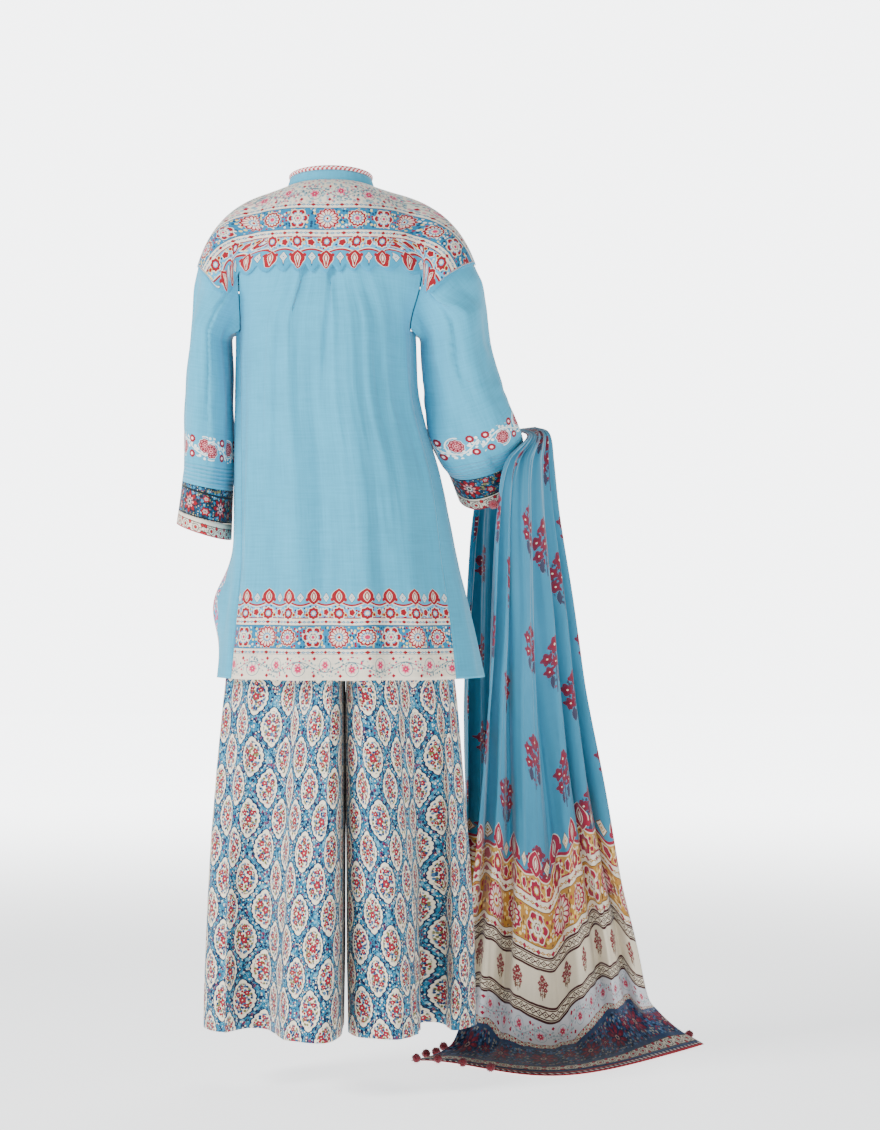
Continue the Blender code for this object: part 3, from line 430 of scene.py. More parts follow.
@dataclass
class KameezForm:
    """The surface that the kameez hangs in, the same as the solids have."""

    neck_half_width: float = 0.072
    neck_half_depth: float = 0.064
    neck_middle: Vector = field(default_factory=lambda: Vector((-0.004, 0.010, 0.022)))
    neck_forward_drop: float = 0.17
    collar_height: float = 0.019
    collar_lean: float = 0.006
    underarm_z: float = -0.205
    armhole_back: float = 55.0
    armhole_front: float = 128.0
    folds_start: float = 0.016
    folds_rise: float = 0.05
    folds_edge: float = 0.05

    def __post_init__(self) -> None:
        """Read the tables."""
        self.edge = Loop(SHOULDER_EDGE)
        self.round = Loop(SHOULDER_ROUND)
        self.body = Table(BODY_SECTIONS, "z")
        self.hem_z = BODY_SECTIONS[-1].z

    def neck_point(self, turn: float, rise: float = 0.0) -> Vector:
        """Return a point of the neck loop, or of the collar at a rise above it."""
        angle = math.radians(turn)
        lean = 1.0 - self.collar_lean * rise / (self.collar_height * self.neck_half_width)
        offset_x = self.neck_half_width * math.sin(angle) * lean
        offset_y = -self.neck_half_depth * math.cos(angle) * lean
        drop = self.neck_forward_drop * offset_y
        return self.neck_middle + Vector((offset_x, offset_y, rise - drop))

    def shoulder_point(self, turn: float, out: float) -> Vector:
        """Return a point of the shoulders: out is 0 at the neck and 1 at the part's edge."""
        over = self.round.at(turn) * (2.0 * out * (1.0 - out))
        return self.neck_point(turn) * (1.0 - out) ** 2 + over + self.edge.at(turn) * out ** 2

    def section_point(self, z: float, turn: float) -> Vector:
        """Return a point of a level section below the arms."""
        angle = math.radians(turn)
        reach = self.body.at("back_y", z) if math.cos(angle) > 0.0 else -self.body.at("front_y", z)
        x = self.body.at("middle_x", z) + self.body.at("half_width", z) * math.sin(angle)
        return Vector((x, reach * math.cos(angle), z))

    def fold_height(self, folds: Sequence[Fold], across: float, down: float) -> float:
        """Return how proud a panel's folds stand at a place across and down it."""
        start = min(max((down - self.folds_start) / self.folds_rise, 0.0), 1.0)
        start *= min(min(across, 1.0 - across) / self.folds_edge, 1.0)
        height = 0.0
        for fold in folds:
            wide = mix(fold.wide_top, fold.wide_hem, down)
            away = (across - mix(fold.top, fold.hem, down)) / wide
            height += mix(fold.proud_top, fold.proud_hem, down) * math.exp(-away ** 2)
        return height * start

    def panel_point(
        self,
        edge_turns: tuple[float, float] | None,
        seams: tuple[str, str],
        folds: Sequence[Fold],
        across: float,
        level: float,
    ) -> Vector:
        """Return a point of a panel between two seams.

        Args:
            edge_turns: Directions of the panel's top corners, or None for a gore.
            seams: Names of the section columns that hold the panel's seams.
            folds: The panel's soft folds.
            across: The share of its width.
            level: 0 at the shoulder part's edge, 1 under the arm and 2 at the hem.

        Returns:
            The point, with the folds on it.
        """
        z = mix(self.underarm_z, self.hem_z, level - 1.0)
        start = self.body.at(seams[0], min(z, self.underarm_z))
        end = self.body.at(seams[1], min(z, self.underarm_z))
        if end < start:
            start -= 360.0
        turn = mix(start, end, across)
        top_z = self.underarm_z
        if edge_turns is None:
            point = self.section_point(z, turn)
        else:
            edge = self.edge.at(mix(edge_turns[0], edge_turns[1], across))
            top_z = edge.z
            if level < 1.0:
                z = mix(top_z, self.underarm_z, level)
            point = self.section_point(max(min(z, self.underarm_z), self.hem_z), turn)
            point.z = z
            share = ease(1.0 - level)
            point += Vector((edge.x - point.x, edge.y - point.y, 0.0)) * share
        away = Vector((point.x, point.y, 0.0)).normalized()
        return point + away * self.fold_height(folds, across, (top_z - z) / (top_z - self.hem_z))

    def armhole_edge(self, side: Side, behind: bool, z: float) -> Vector:
        """Return the armhole edge of the back or the front at a height."""
        sign = 1.0 if side is Side.RIGHT else 0.0
        if behind:
            corner = self.armhole_back * side.value
            corners = (-self.armhole_back, self.armhole_back)
            seams = ("seam_back_left", "seam_back_right")
            share = sign
        else:
            corner = self.armhole_front if side is Side.RIGHT else 360.0 - self.armhole_front
            corners = (self.armhole_front, 360.0 - self.armhole_front)
            seams = ("seam_front_right", "seam_front_left")
            share = 1.0 - sign
        top_z = self.edge.at(corner).z
        return self.panel_point(corners, seams, (), share, (z - top_z) / (self.underarm_z - top_z))


class SleeveColumn(NamedTuple):
    """A lengthwise line of a sleeve: its angle, and where it starts on the armhole."""

    angle: float
    over: bool
    start: float


@dataclass
class SleeveForm:
    """The surface of one sleeve with its cuff."""

    kameez: KameezForm
    side: Side
    over_turns: tuple[float, ...] = (
        57.0, 60.5, 64.0, 70.0, 76.0, 83.0, 90.0, 94.2, 101.0, 108.0, 115.0, 121.0, 126.5)
    under_shares: tuple[float, ...] = (0.09, 0.18, 0.27, 0.36, 0.45, 0.55, 0.64, 0.73, 0.82, 0.91)
    over_angle: float = 105.0
    corner_share: float = 0.40
    clear: float = 0.0018
    tucked_out: float = 0.985
    untucked_out: float = 1.013
    between: int = 4

    def __post_init__(self) -> None:
        """Read the tables of this side and lay out the lengthwise lines."""
        self.rows = LEFT_SLEEVE if self.side is Side.LEFT else RIGHT_SLEEVE
        self.table = Table(self.rows, "down")
        self.columns = self.lay_columns()

    def lay_columns(self) -> list[SleeveColumn]:
        """Return the lengthwise lines in order, several between each pair of the solid's."""
        coarse = []
        for turn in self.over_turns:
            if turn <= 90.0:
                angle = self.over_angle * (90.0 - turn) / (90.0 - self.kameez.armhole_back)
            else:
                angle = -self.over_angle * (turn - 90.0) / (self.kameez.armhole_front - 90.0)
            coarse.append(SleeveColumn(angle, True, turn))
        first = coarse[0].angle - 360.0
        last = coarse[-1].angle
        under = [SleeveColumn(mix(last, first, share), False, share) for share in self.under_shares]
        coarse += [*under, SleeveColumn(first, True, self.over_turns[0])]
        columns = []
        for here, there in zip(coarse, coarse[1:]):
            for step in range(self.between):
                share = step / self.between
                angle = mix(here.angle, there.angle, share)
                if here.over == there.over:
                    columns.append(SleeveColumn(angle, here.over, mix(here.start, there.start, share)))
                elif here.over:
                    columns.append(here._replace(angle=angle) if step == 0 else
                                   SleeveColumn(angle, False, mix(0.0, there.start, share)))
                else:
                    columns.append(SleeveColumn(angle, False, mix(here.start, 1.0, share)))
        columns.append(coarse[-1])
        return columns

    def section_point(self, angle: float, down: float) -> Vector:
        """Return a point of a section: angle 0 is its outer line, 90 its back."""
        outer = self.table.point("outer", down)
        inner = self.table.point("inner", down)
        before = self.table.point("outer", down - 0.06) + self.table.point("inner", down - 0.06)
        after = self.table.point("outer", down + 0.06) + self.table.point("inner", down + 0.06)
        half = (outer - inner) * 0.5
        backwards = (after - before).cross(half).normalized() * self.side.value
        sine = math.sin(math.radians(angle))
        reach = self.table.at("back" if sine > 0.0 else "front", down)
        return (outer + inner) * 0.5 + half * math.cos(math.radians(angle)) + backwards * (reach * sine)

    def armhole_point(self, column: SleeveColumn) -> Vector:
        """Return the sleeve's top edge, just clear of the body's panels."""
        kameez = self.kameez
        sign = self.side.value
        if column.over:
            turn = column.start if self.side is Side.RIGHT else 360.0 - column.start
            return kameez.shoulder_point(turn, self.tucked_out if column.start <= 90.0 else self.untucked_out)
        off = Vector((self.clear * sign, 0.0, 0.0))
        share = column.start
        if share <= self.corner_share:
            top = kameez.edge.at(kameez.armhole_front * sign).z
            z = mix(top, kameez.underarm_z, share / self.corner_share)
            return kameez.armhole_edge(self.side, False, z) + off
        if share >= 1.0 - self.corner_share:
            top = kameez.edge.at(kameez.armhole_back * sign).z
            z = mix(top, kameez.underarm_z, (1.0 - share) / self.corner_share)
            return kameez.armhole_edge(self.side, True, z) + off
        share = (share - self.corner_share) / (1.0 - 2.0 * self.corner_share)
        top_row = BODY_SECTIONS[0]
        front = top_row.seam_front_right if self.side is Side.RIGHT else top_row.seam_front_left
        back = top_row.seam_back_right if self.side is Side.RIGHT else top_row.seam_back_left
        return kameez.section_point(kameez.underarm_z, mix(front, back, share)) + off

    def point(self, column: SleeveColumn, down: float) -> Vector:
        """Return a point of the sleeve: down is 0 at the armhole and 1 at its edge."""
        first = self.rows[0].down
        if down >= first:
            return self.section_point(column.angle, down)
        start = self.armhole_point(column)
        if column.over:
            turn = column.start if self.side is Side.RIGHT else 360.0 - column.start
            before = self.kameez.shoulder_point(turn, 0.70)
        else:
            before = start + Vector((-0.02 * self.side.value, 0.0, 0.02))
        second = self.rows[1].down
        low = self.section_point(column.angle, first)
        lower = self.section_point(column.angle, second)
        return through((-0.12, 0.0, first, second), (before, start, low, lower), down)


@dataclass
class TrouserForm:
    """The surface of one wide trouser leg."""

    side: Side
    crotch_z: float = -0.660
    crotch_rise: float = 0.130
    split_x: float = 0.0198
    split_gap: float = 0.0016
    inseam_y: float = 0.010

    def __post_init__(self) -> None:
        """Read the tables of this side."""
        self.table = Table(TROUSER_SECTIONS, "z")
        self.hem = Table(LEFT_HEM if self.side is Side.LEFT else RIGHT_HEM, "along")
        self.top_z = TROUSER_SECTIONS[0].z
        self.hem_z = TROUSER_SECTIONS[-1].z

    def outline(self, z: float, count: int) -> list[Vector]:
        """Return evenly spaced points of a level section, from the inseam round the back.

        Args:
            z: The height.
            count: How many steps to take round.

        Returns:
            count + 1 points; the first and the last meet at the inseam below the crotch.
        """
        sign = self.side.value
        middle = self.table.at("middle_x", z)
        half_width = self.table.at("half_width", z)
        back = self.table.at("back_y", z)
        front = self.table.at("front_y", z)
        share = min(max(self.table.at("hem_share", z), 0.0), 1.0)
        part = min((self.top_z - z) / (self.top_z - self.crotch_z), 1.0)
        split = mix(middle, self.split_x, part) + sign * self.split_gap
        start = math.asin((split - middle) * sign / half_width)
        rise = min(max((z - self.crotch_z) / self.crotch_rise, 0.0), 1.0)
        open_share = math.sqrt(1.0 - (1.0 - rise) ** 2)
        path = [Vector((split, mix(self.inseam_y, back * math.cos(start), open_share), z))]
        for angle in spread(60, start, math.pi - start):
            reach = back if math.cos(angle) > 0.0 else -front
            path.append(Vector((middle + sign * half_width * math.sin(angle), reach * math.cos(angle), z)))
        path.append(Vector((split, mix(self.inseam_y, front * math.cos(start), open_share), z)))
        reaches = [0.0]
        for before, after in zip(path, path[1:]):
            reaches.append(reaches[-1] + (after - before).length)
        points = []
        for along in spread(count):
            wanted = along * reaches[-1]
            index = min(bisect_right(reaches, wanted) - 1, len(path) - 2)
            step = max(reaches[index + 1] - reaches[index], 1e-6)
            point = mix(path[index], path[index + 1], min((wanted - reaches[index]) / step, 1.0))
            low = Vector((self.hem.at("x", along), self.hem.at("y", along), z))
            points.append(mix(point, low, share))
        return points


@dataclass
class FallForm:
    """The surface of one fall of the dupatta, over the forearm and down to the floor."""

    rows: tuple[FallSection, ...]
    fold_count: float

    def __post_init__(self) -> None:
        """Read the table."""
        self.table = Table(self.rows, "down")

    def straight(self, across: float, down: float) -> Vector:
        """Return a point of the fall without its folds."""
        bow = self.table.at("bow_y", down) * abs(math.sin(math.pi * across)) ** (2.0 - across)
        elbow = self.table.point("elbow", down)
        hand = self.table.point("hand", down)
        return mix(elbow, hand, across) + Vector((0.0, bow, 0.0))

    def point(self, across: float, down: float) -> Vector:
        """Return a point of the fall with its long soft folds."""
        travel = self.straight(across, down + 0.02) - self.straight(across, down - 0.02)
        aside = self.straight(across + 0.02, down) - self.straight(across - 0.02, down)
        proud = travel.cross(aside).normalized()
        wander = 0.35 * math.sin(2.2 * math.pi * across) + 0.4 * down
        wave = 2.0 * math.pi * (self.fold_count * across + wander)
        height = self.table.at("fold", down) * (math.sin(wave) + 0.25 * math.sin(2.0 * wave + 0.8))
        return self.straight(across, down) + proud * height


@dataclass
class ClothSheet:
    """One cut piece of cloth: a grid laid on its surface, creased, charted and given a wall.

    across and down hold what place reads for each column and row. relief gives the height of the
    creases from the shares across and down and the chart's metres. The chart runs up each column
    from the last row, and across along the chart_row. The attribute "up" keeps that way up.
    """

    name: str
    across: Sequence
    down: Sequence
    place: Callable[[object, object], Vector]
    inside: Vector
    relief: Callable[[float, float, float, float], float] | None = None
    chart: Callable[[object, object, Vector], tuple[float, float]] | None = None
    chart_row: int = -1
    skipped: Callable[[int, int], bool] | None = None
    moved_out: float = 0.0
    wall: float = 0.0012
    weld: float = 0.00001
    chart_scale: float = 1.0
    size: tuple[float, float, float] = (0.0, 0.0, 0.0)

    def build(self) -> bpy.types.Object:
        """Return the finished piece as an object in the scene."""
        columns = len(self.across) - 1
        rows = len(self.down) - 1
        points = [[self.place(across, down) for down in self.down] for across in self.across]
        reference = self.chart_row % (rows + 1)
        widths = [0.0]
        for here, there in zip(points, points[1:]):
            widths.append(widths[-1] + (there[reference] - here[reference]).length)
        heights = []
        for column in points:
            height = [0.0]
            for upper, lower in zip(reversed(column[:-1]), reversed(column[1:])):
                height.append(height[-1] + (upper - lower).length)
            heights.append(height[::-1])

        grid = bmesh.new()
        bmesh.ops.create_grid(grid, x_segments=columns, y_segments=rows, size=0.5)
        lift = grid.verts.layers.float.new("lift")
        up = grid.verts.layers.float.new("up")
        chart = grid.loops.layers.uv.new("cloth")
        spots = {}
        for vertex in grid.verts:
            column = round((vertex.co.x + 0.5) * columns)
            spots[vertex] = (column, round((vertex.co.y + 0.5) * rows))
        if self.skipped is not None:
            holes = []
            for face in grid.faces:
                middle = face.calc_center_median()
                if self.skipped(int((middle.x + 0.5) * columns), int((middle.y + 0.5) * rows)):
                    holes.append(face)
            bmesh.ops.delete(grid, geom=holes, context="FACES")
        places = {}
        for vertex in grid.verts:
            column, row = spots[vertex]
            vertex.co = points[column][row]
            place = (widths[column] - 0.5 * widths[-1], heights[column][row])
            if self.relief is not None:
                vertex[lift] = self.relief(column / columns, row / rows, *place)
            vertex[up] = place[1]
            if self.chart is not None:
                place = self.chart(self.across[column], self.down[row], vertex.co)
            places[vertex] = (self.chart_scale * place[0], self.chart_scale * place[1])
        for face in grid.faces:
            for corner in face.loops:
                corner[chart].uv = places[corner.vert]
        bmesh.ops.remove_doubles(grid, verts=grid.verts, dist=self.weld)
        self.face_outwards(grid)
        grid.normal_update()
        for vertex in grid.verts:
            vertex.co += vertex.normal * (self.moved_out + vertex[lift])
        kept = {(column, row) for column in range(columns) for row in range(rows + 1)}
        if self.skipped is not None:
            kept = {(column, row) for column, row in kept if not self.skipped(column, min(row, rows - 1))}
        row_lengths = [0.0] * (rows + 1)
        for column, row in kept:
            row_lengths[row] += (points[column + 1][row] - points[column][row]).length
        longest_row = max(row_lengths)
        area = sum(face.calc_area() for face in grid.faces)
        self.size = (longest_row, max(height[0] for height in heights), area)
        mesh = bpy.data.meshes.new(self.name)
        grid.to_mesh(mesh)
        grid.free()
        mesh.attributes.remove(mesh.attributes["lift"])
        mesh.shade_smooth()
        piece = bpy.data.objects.new(self.name, mesh)
        bpy.context.scene.collection.objects.link(piece)
        solid = piece.modifiers.new("wall", "SOLIDIFY")
        solid.thickness = self.wall
        solid.offset = 0.0
        return piece

    def face_outwards(self, grid: bmesh.types.BMesh) -> None:
        """Turn the faces so that they look away from the point inside the piece."""
        grid.normal_update()
        outwards = sum(
            (face.calc_center_median() - self.inside).dot(face.normal) * face.calc_area()
            for face in grid.faces)
        if outwards < 0.0:
            bmesh.ops.reverse_faces(grid, faces=grid.faces)

    def dress(self, look: bpy.types.Material, nodes: Sequence[str]) -> bpy.types.Object:
        """Args:
            look: Its material.
            nodes: The CAD nodes that it replaces.

        Returns:
            The piece.
        """
        piece = dress_piece(self.build(), look, nodes)
        return piece


def dress_piece(piece: bpy.types.Object, look: bpy.types.Material,
                nodes: Sequence[str]) -> bpy.types.Object:
    """Give a piece its material, let it ride on the frame and stand for CAD nodes.

    Args:
        piece: The piece.
        look: Its material.
        nodes: The CAD nodes that it replaces.

    Returns:
        The same piece.
    """
    piece.data.materials.append(look)
    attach(piece, BODY)
    if nodes:
        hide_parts(*nodes)
    LOG.info("%s made", piece.name)
    return piece


def crease(across: float, down: float, seed: float) -> float:
    """Return an uneven share, about -1 to 1, of soft creases that run along down.

    Args:
        across: The place across the cloth, in crease widths.
        down: The place along it, in crease lengths.
        seed: Which creases.

    Returns:
        The share.
    """
    broad = noise.noise(Vector((across, down, seed)))
    return broad + 0.45 * noise.noise(Vector((2.3 * across, 1.6 * down, seed + 7.3)))


def clear_of_seams(across: float, margin: float = 0.07) -> float:
    """Return how far creases may rise across a panel: 0 at its side seams and 1 inside."""
    return ease(min(across, 1.0 - across) / margin)


def pleat(across: float, middle: float, wide: float, deep: float) -> float:
    """Return the height of a pressed pleat that drops sharply on one side of its line.

    Args:
        across: The share across the panel.
        middle: Where the line is.
        wide: How far its slope reaches.
        deep: How deep it drops.

    Returns:
        The height.
    """
    off = across - middle
    if off < 0.0:
        return -deep * ease(1.0 + off / (0.12 * wide))
    return -deep * ease(1.0 - off / wide)


def linear(hex_colour: str) -> tuple[float, float, float, float]:
    """Return an sRGB hex colour as linear RGBA."""
    parts = [int(hex_colour[place:place + 2], 16) / 255.0 for place in (1, 3, 5)]
    turned = [part / 12.92 if part <= 0.04045 else ((part + 0.055) / 1.055) ** 2.4 for part in parts]
    return (*turned, 1.0)


def add_node(tree: bpy.types.NodeTree, kind: str, *links: object, output: int | str = 0,
             **settings: object) -> bpy.types.NodeSocket:
    """Add a node with its settings and links.

    Args:
        tree: The node tree.
        kind: The node's kind without ShaderNode.
        links: What goes into its inputs in order: a socket, a value, or None to leave one.
        output: Which output to return.
        settings: The node's own settings.

    Returns:
        The output.
    """
    node = tree.nodes.new("ShaderNode" + kind)
    for name, value in settings.items():
        setattr(node, name, value)
    for place, link in enumerate(links):
        if isinstance(link, bpy.types.NodeSocket):
            tree.links.new(link, node.inputs[place])
        elif link is not None:
            node.inputs[place].default_value = link
    return node.outputs[output]


class Ink:
    """A number or colour that a node gives, which Python's own signs work on."""

    def __init__(self, sheet: "PrintSheet", socket: bpy.types.NodeSocket) -> None:
        """Keep the sheet and the socket."""
        self.sheet = sheet
        self.socket = socket

    def maths(self, operation: str, *others: object, clamp: bool = False) -> "Ink":
        """Return what a Math operation makes of this and the others."""
        return self.sheet.add("Math", self, *others, operation=operation, use_clamp=clamp)

    def __add__(self, other: object) -> "Ink":
        """Return the sum."""
        return self.maths("ADD", other)

    def __sub__(self, other: object) -> "Ink":
        """Return the difference."""
        return self.maths("SUBTRACT", other)

    def __mul__(self, other: object) -> "Ink":
        """Return the product."""
        return self.maths("MULTIPLY", other)

    def __truediv__(self, other: object) -> "Ink":
        """Return the quotient."""
        return self.maths("DIVIDE", other)

    def __abs__(self) -> "Ink":
        """Return the size without its sign."""
        return self.maths("ABSOLUTE")

    def sin(self, turns: float) -> "Ink":
        """Return the sine of this times a rate."""
        return (self * turns).maths("SINE")

    def cos(self, turns: float) -> "Ink":
        """Return the cosine of this times a rate."""
        return (self * turns).maths("COSINE")

    def wrapped(self, period: float, start: float = 0.0) -> "Ink":
        """Return this as the way from the middle of its repeat."""
        return (self - start).maths("WRAP", 0.5 * period, -0.5 * period)

    def under(self, limit: object, soft: float = 0.0003) -> "Ink":
        """Return 1 where this is under a limit and 0 over it, with a soft edge."""
        if isinstance(limit, Ink):
            return (limit - self).maths("MULTIPLY_ADD", 1.0 / soft, 0.5, clamp=True)
        return self.maths("MULTIPLY_ADD", -1.0 / soft, limit / soft + 0.5, clamp=True)


class PrintSheet:
    """A cloth material while its print is being laid on it."""

    def __init__(self, name: str) -> None:
        """Start a material with its shader and the cloth's own chart in metres."""
        self.material = bpy.data.materials.new(name)
        self.material.use_nodes = True
        self.tree = self.material.node_tree
        self.shader = self.tree.nodes["Principled BSDF"]
        chart = self.add("UVMap", uv_map="cloth")
        self.across = self.add("SeparateXYZ", chart, output="X")
        self.along = Ink(self, self.across.socket.node.outputs["Y"])
        self.place = chart

    def add(self, kind: str, *links: object, output: int | str = 0, **settings: object) -> Ink:
        """Add a node to the cloth's material, as add_node does, and return its output as an Ink."""
        sockets = [link.socket if isinstance(link, Ink) else link for link in links]
        return Ink(self, add_node(self.tree, kind, *sockets, output=output, **settings))

    def over(self, ground: Ink | str, ink: Ink | str, where: Ink) -> Ink:
        """Return the ground with an ink laid over it where the share says."""
        colours = [linear(colour) if isinstance(colour, str) else colour for colour in (ground, ink)]
        return self.add("MixRGB", where, *colours)

    def distance(self, x: Ink, y: Ink) -> Ink:
        """Return how far a place is from where x and y are nought."""
        both = self.add("CombineXYZ", x, y)
        return self.add("VectorMath", both, operation="LENGTH", output="Value")

    def stepped(self, share: Ink, stops: Sequence[tuple[float, str]], sharp: bool = True) -> Ink:
        """Return a colour for a share, by a ramp of places and hex colours."""
        colour = self.add("ValToRGB", share)
        ramp = colour.socket.node.color_ramp
        ramp.interpolation = "CONSTANT" if sharp else "LINEAR"
        while len(ramp.elements) < len(stops):
            ramp.elements.new(1.0)
        for element, (place, tint) in zip(ramp.elements, stops):
            element.position = place
            element.color = linear(tint)
        return colour

    def connect(self, ink: Ink, socket: str) -> None:
        """Lead an ink to one of the shader's sockets."""
        self.tree.links.new(ink.socket, self.shader.inputs[socket])


TO_MM = 1000.0


def start_print(name: str, colours: "PrintColours") -> tuple[PrintSheet, "BlockPrint", Ink, Ink]:
    """Return a new cloth material, its printer, and the chart's two ways in millimetres."""
    sheet = PrintSheet(name)
    return sheet, BlockPrint(sheet, colours), sheet.across * TO_MM, sheet.along * TO_MM


@dataclass(frozen=True)
class PrintColours:
    """The dyes of one block print, as they look on the cloth."""

    cream: str = "#DED5C2"
    ground: str = "#15749C"
    second: str = "#45A5CF"
    red: str = "#8C101E"
    pink: str = "#C8285A"
    line: str = "#4F7480"
    dark: str = "#123A5A"
    leaf: str = "#DCC56C"


@dataclass(frozen=True)
class CottonWeave:
    """Handloom cotton: uneven threads both ways, a soft surface and a faint sheen.

    Its real threads lie about 0.4 mm apart, too fine to show, so they are drawn 3 mm apart.
    """

    thread: float = 0.0030
    slub: float = 0.060
    uneven: float = 0.30
    roughness: float = 0.82
    sheen: float = 0.25
    relief: float = 0.00035
    patches: float = 0.22
    patch: float = 1.0 / 16.0
    bump: float = 0.8

    def weave(self, sheet: PrintSheet, colour: Ink | str, raised: Ink | None = None) -> bpy.types.Material:
        """Give the cloth its colour, threads and nap.

        Args:
            sheet: The material being made.
            colour: The dyed or printed colour.
            raised: The height in metres of stitching on the cloth, if it has any.

        Returns:
            The finished material.
        """
        rate = 1.0 / self.thread
        slow = 1.0 / self.slub
        threads = []
        for fast_across, fast_along in ((rate, slow), (slow, rate)):
            stretched = sheet.add("VectorMath", sheet.place, (fast_across, fast_along, 1.0),
                                  operation="MULTIPLY")
            threads.append(sheet.add("TexNoise", stretched, None, 1.0, 2.0))
        cloth = threads[0] + threads[1]
        patch = sheet.add("TexNoise", sheet.place, None, 1.0 / self.patch, 3.0)
        bright = cloth * self.uneven + patch * self.patches + (1.0 - self.uneven - 0.5 * self.patches)
        ground = linear(colour) if isinstance(colour, str) else colour
        sheet.connect(sheet.add("HueSaturation", 0.5, 1.0, bright, 1.0, ground), "Base Color")
        height = cloth * self.relief
        if raised is not None:
            height = height + raised
        bump = sheet.add("Bump", self.bump, 1.0)
        sheet.tree.links.new(height.socket, bump.socket.node.inputs["Height"])
        sheet.connect(bump, "Normal")
        sheet.shader.inputs["Roughness"].default_value = self.roughness
        sheet.shader.inputs["Sheen Weight"].default_value = self.sheen
        sheet.shader.inputs["Sheen Roughness"].default_value = 0.4
        sheet.shader.inputs["Specular IOR Level"].default_value = 0.25
        return sheet.material


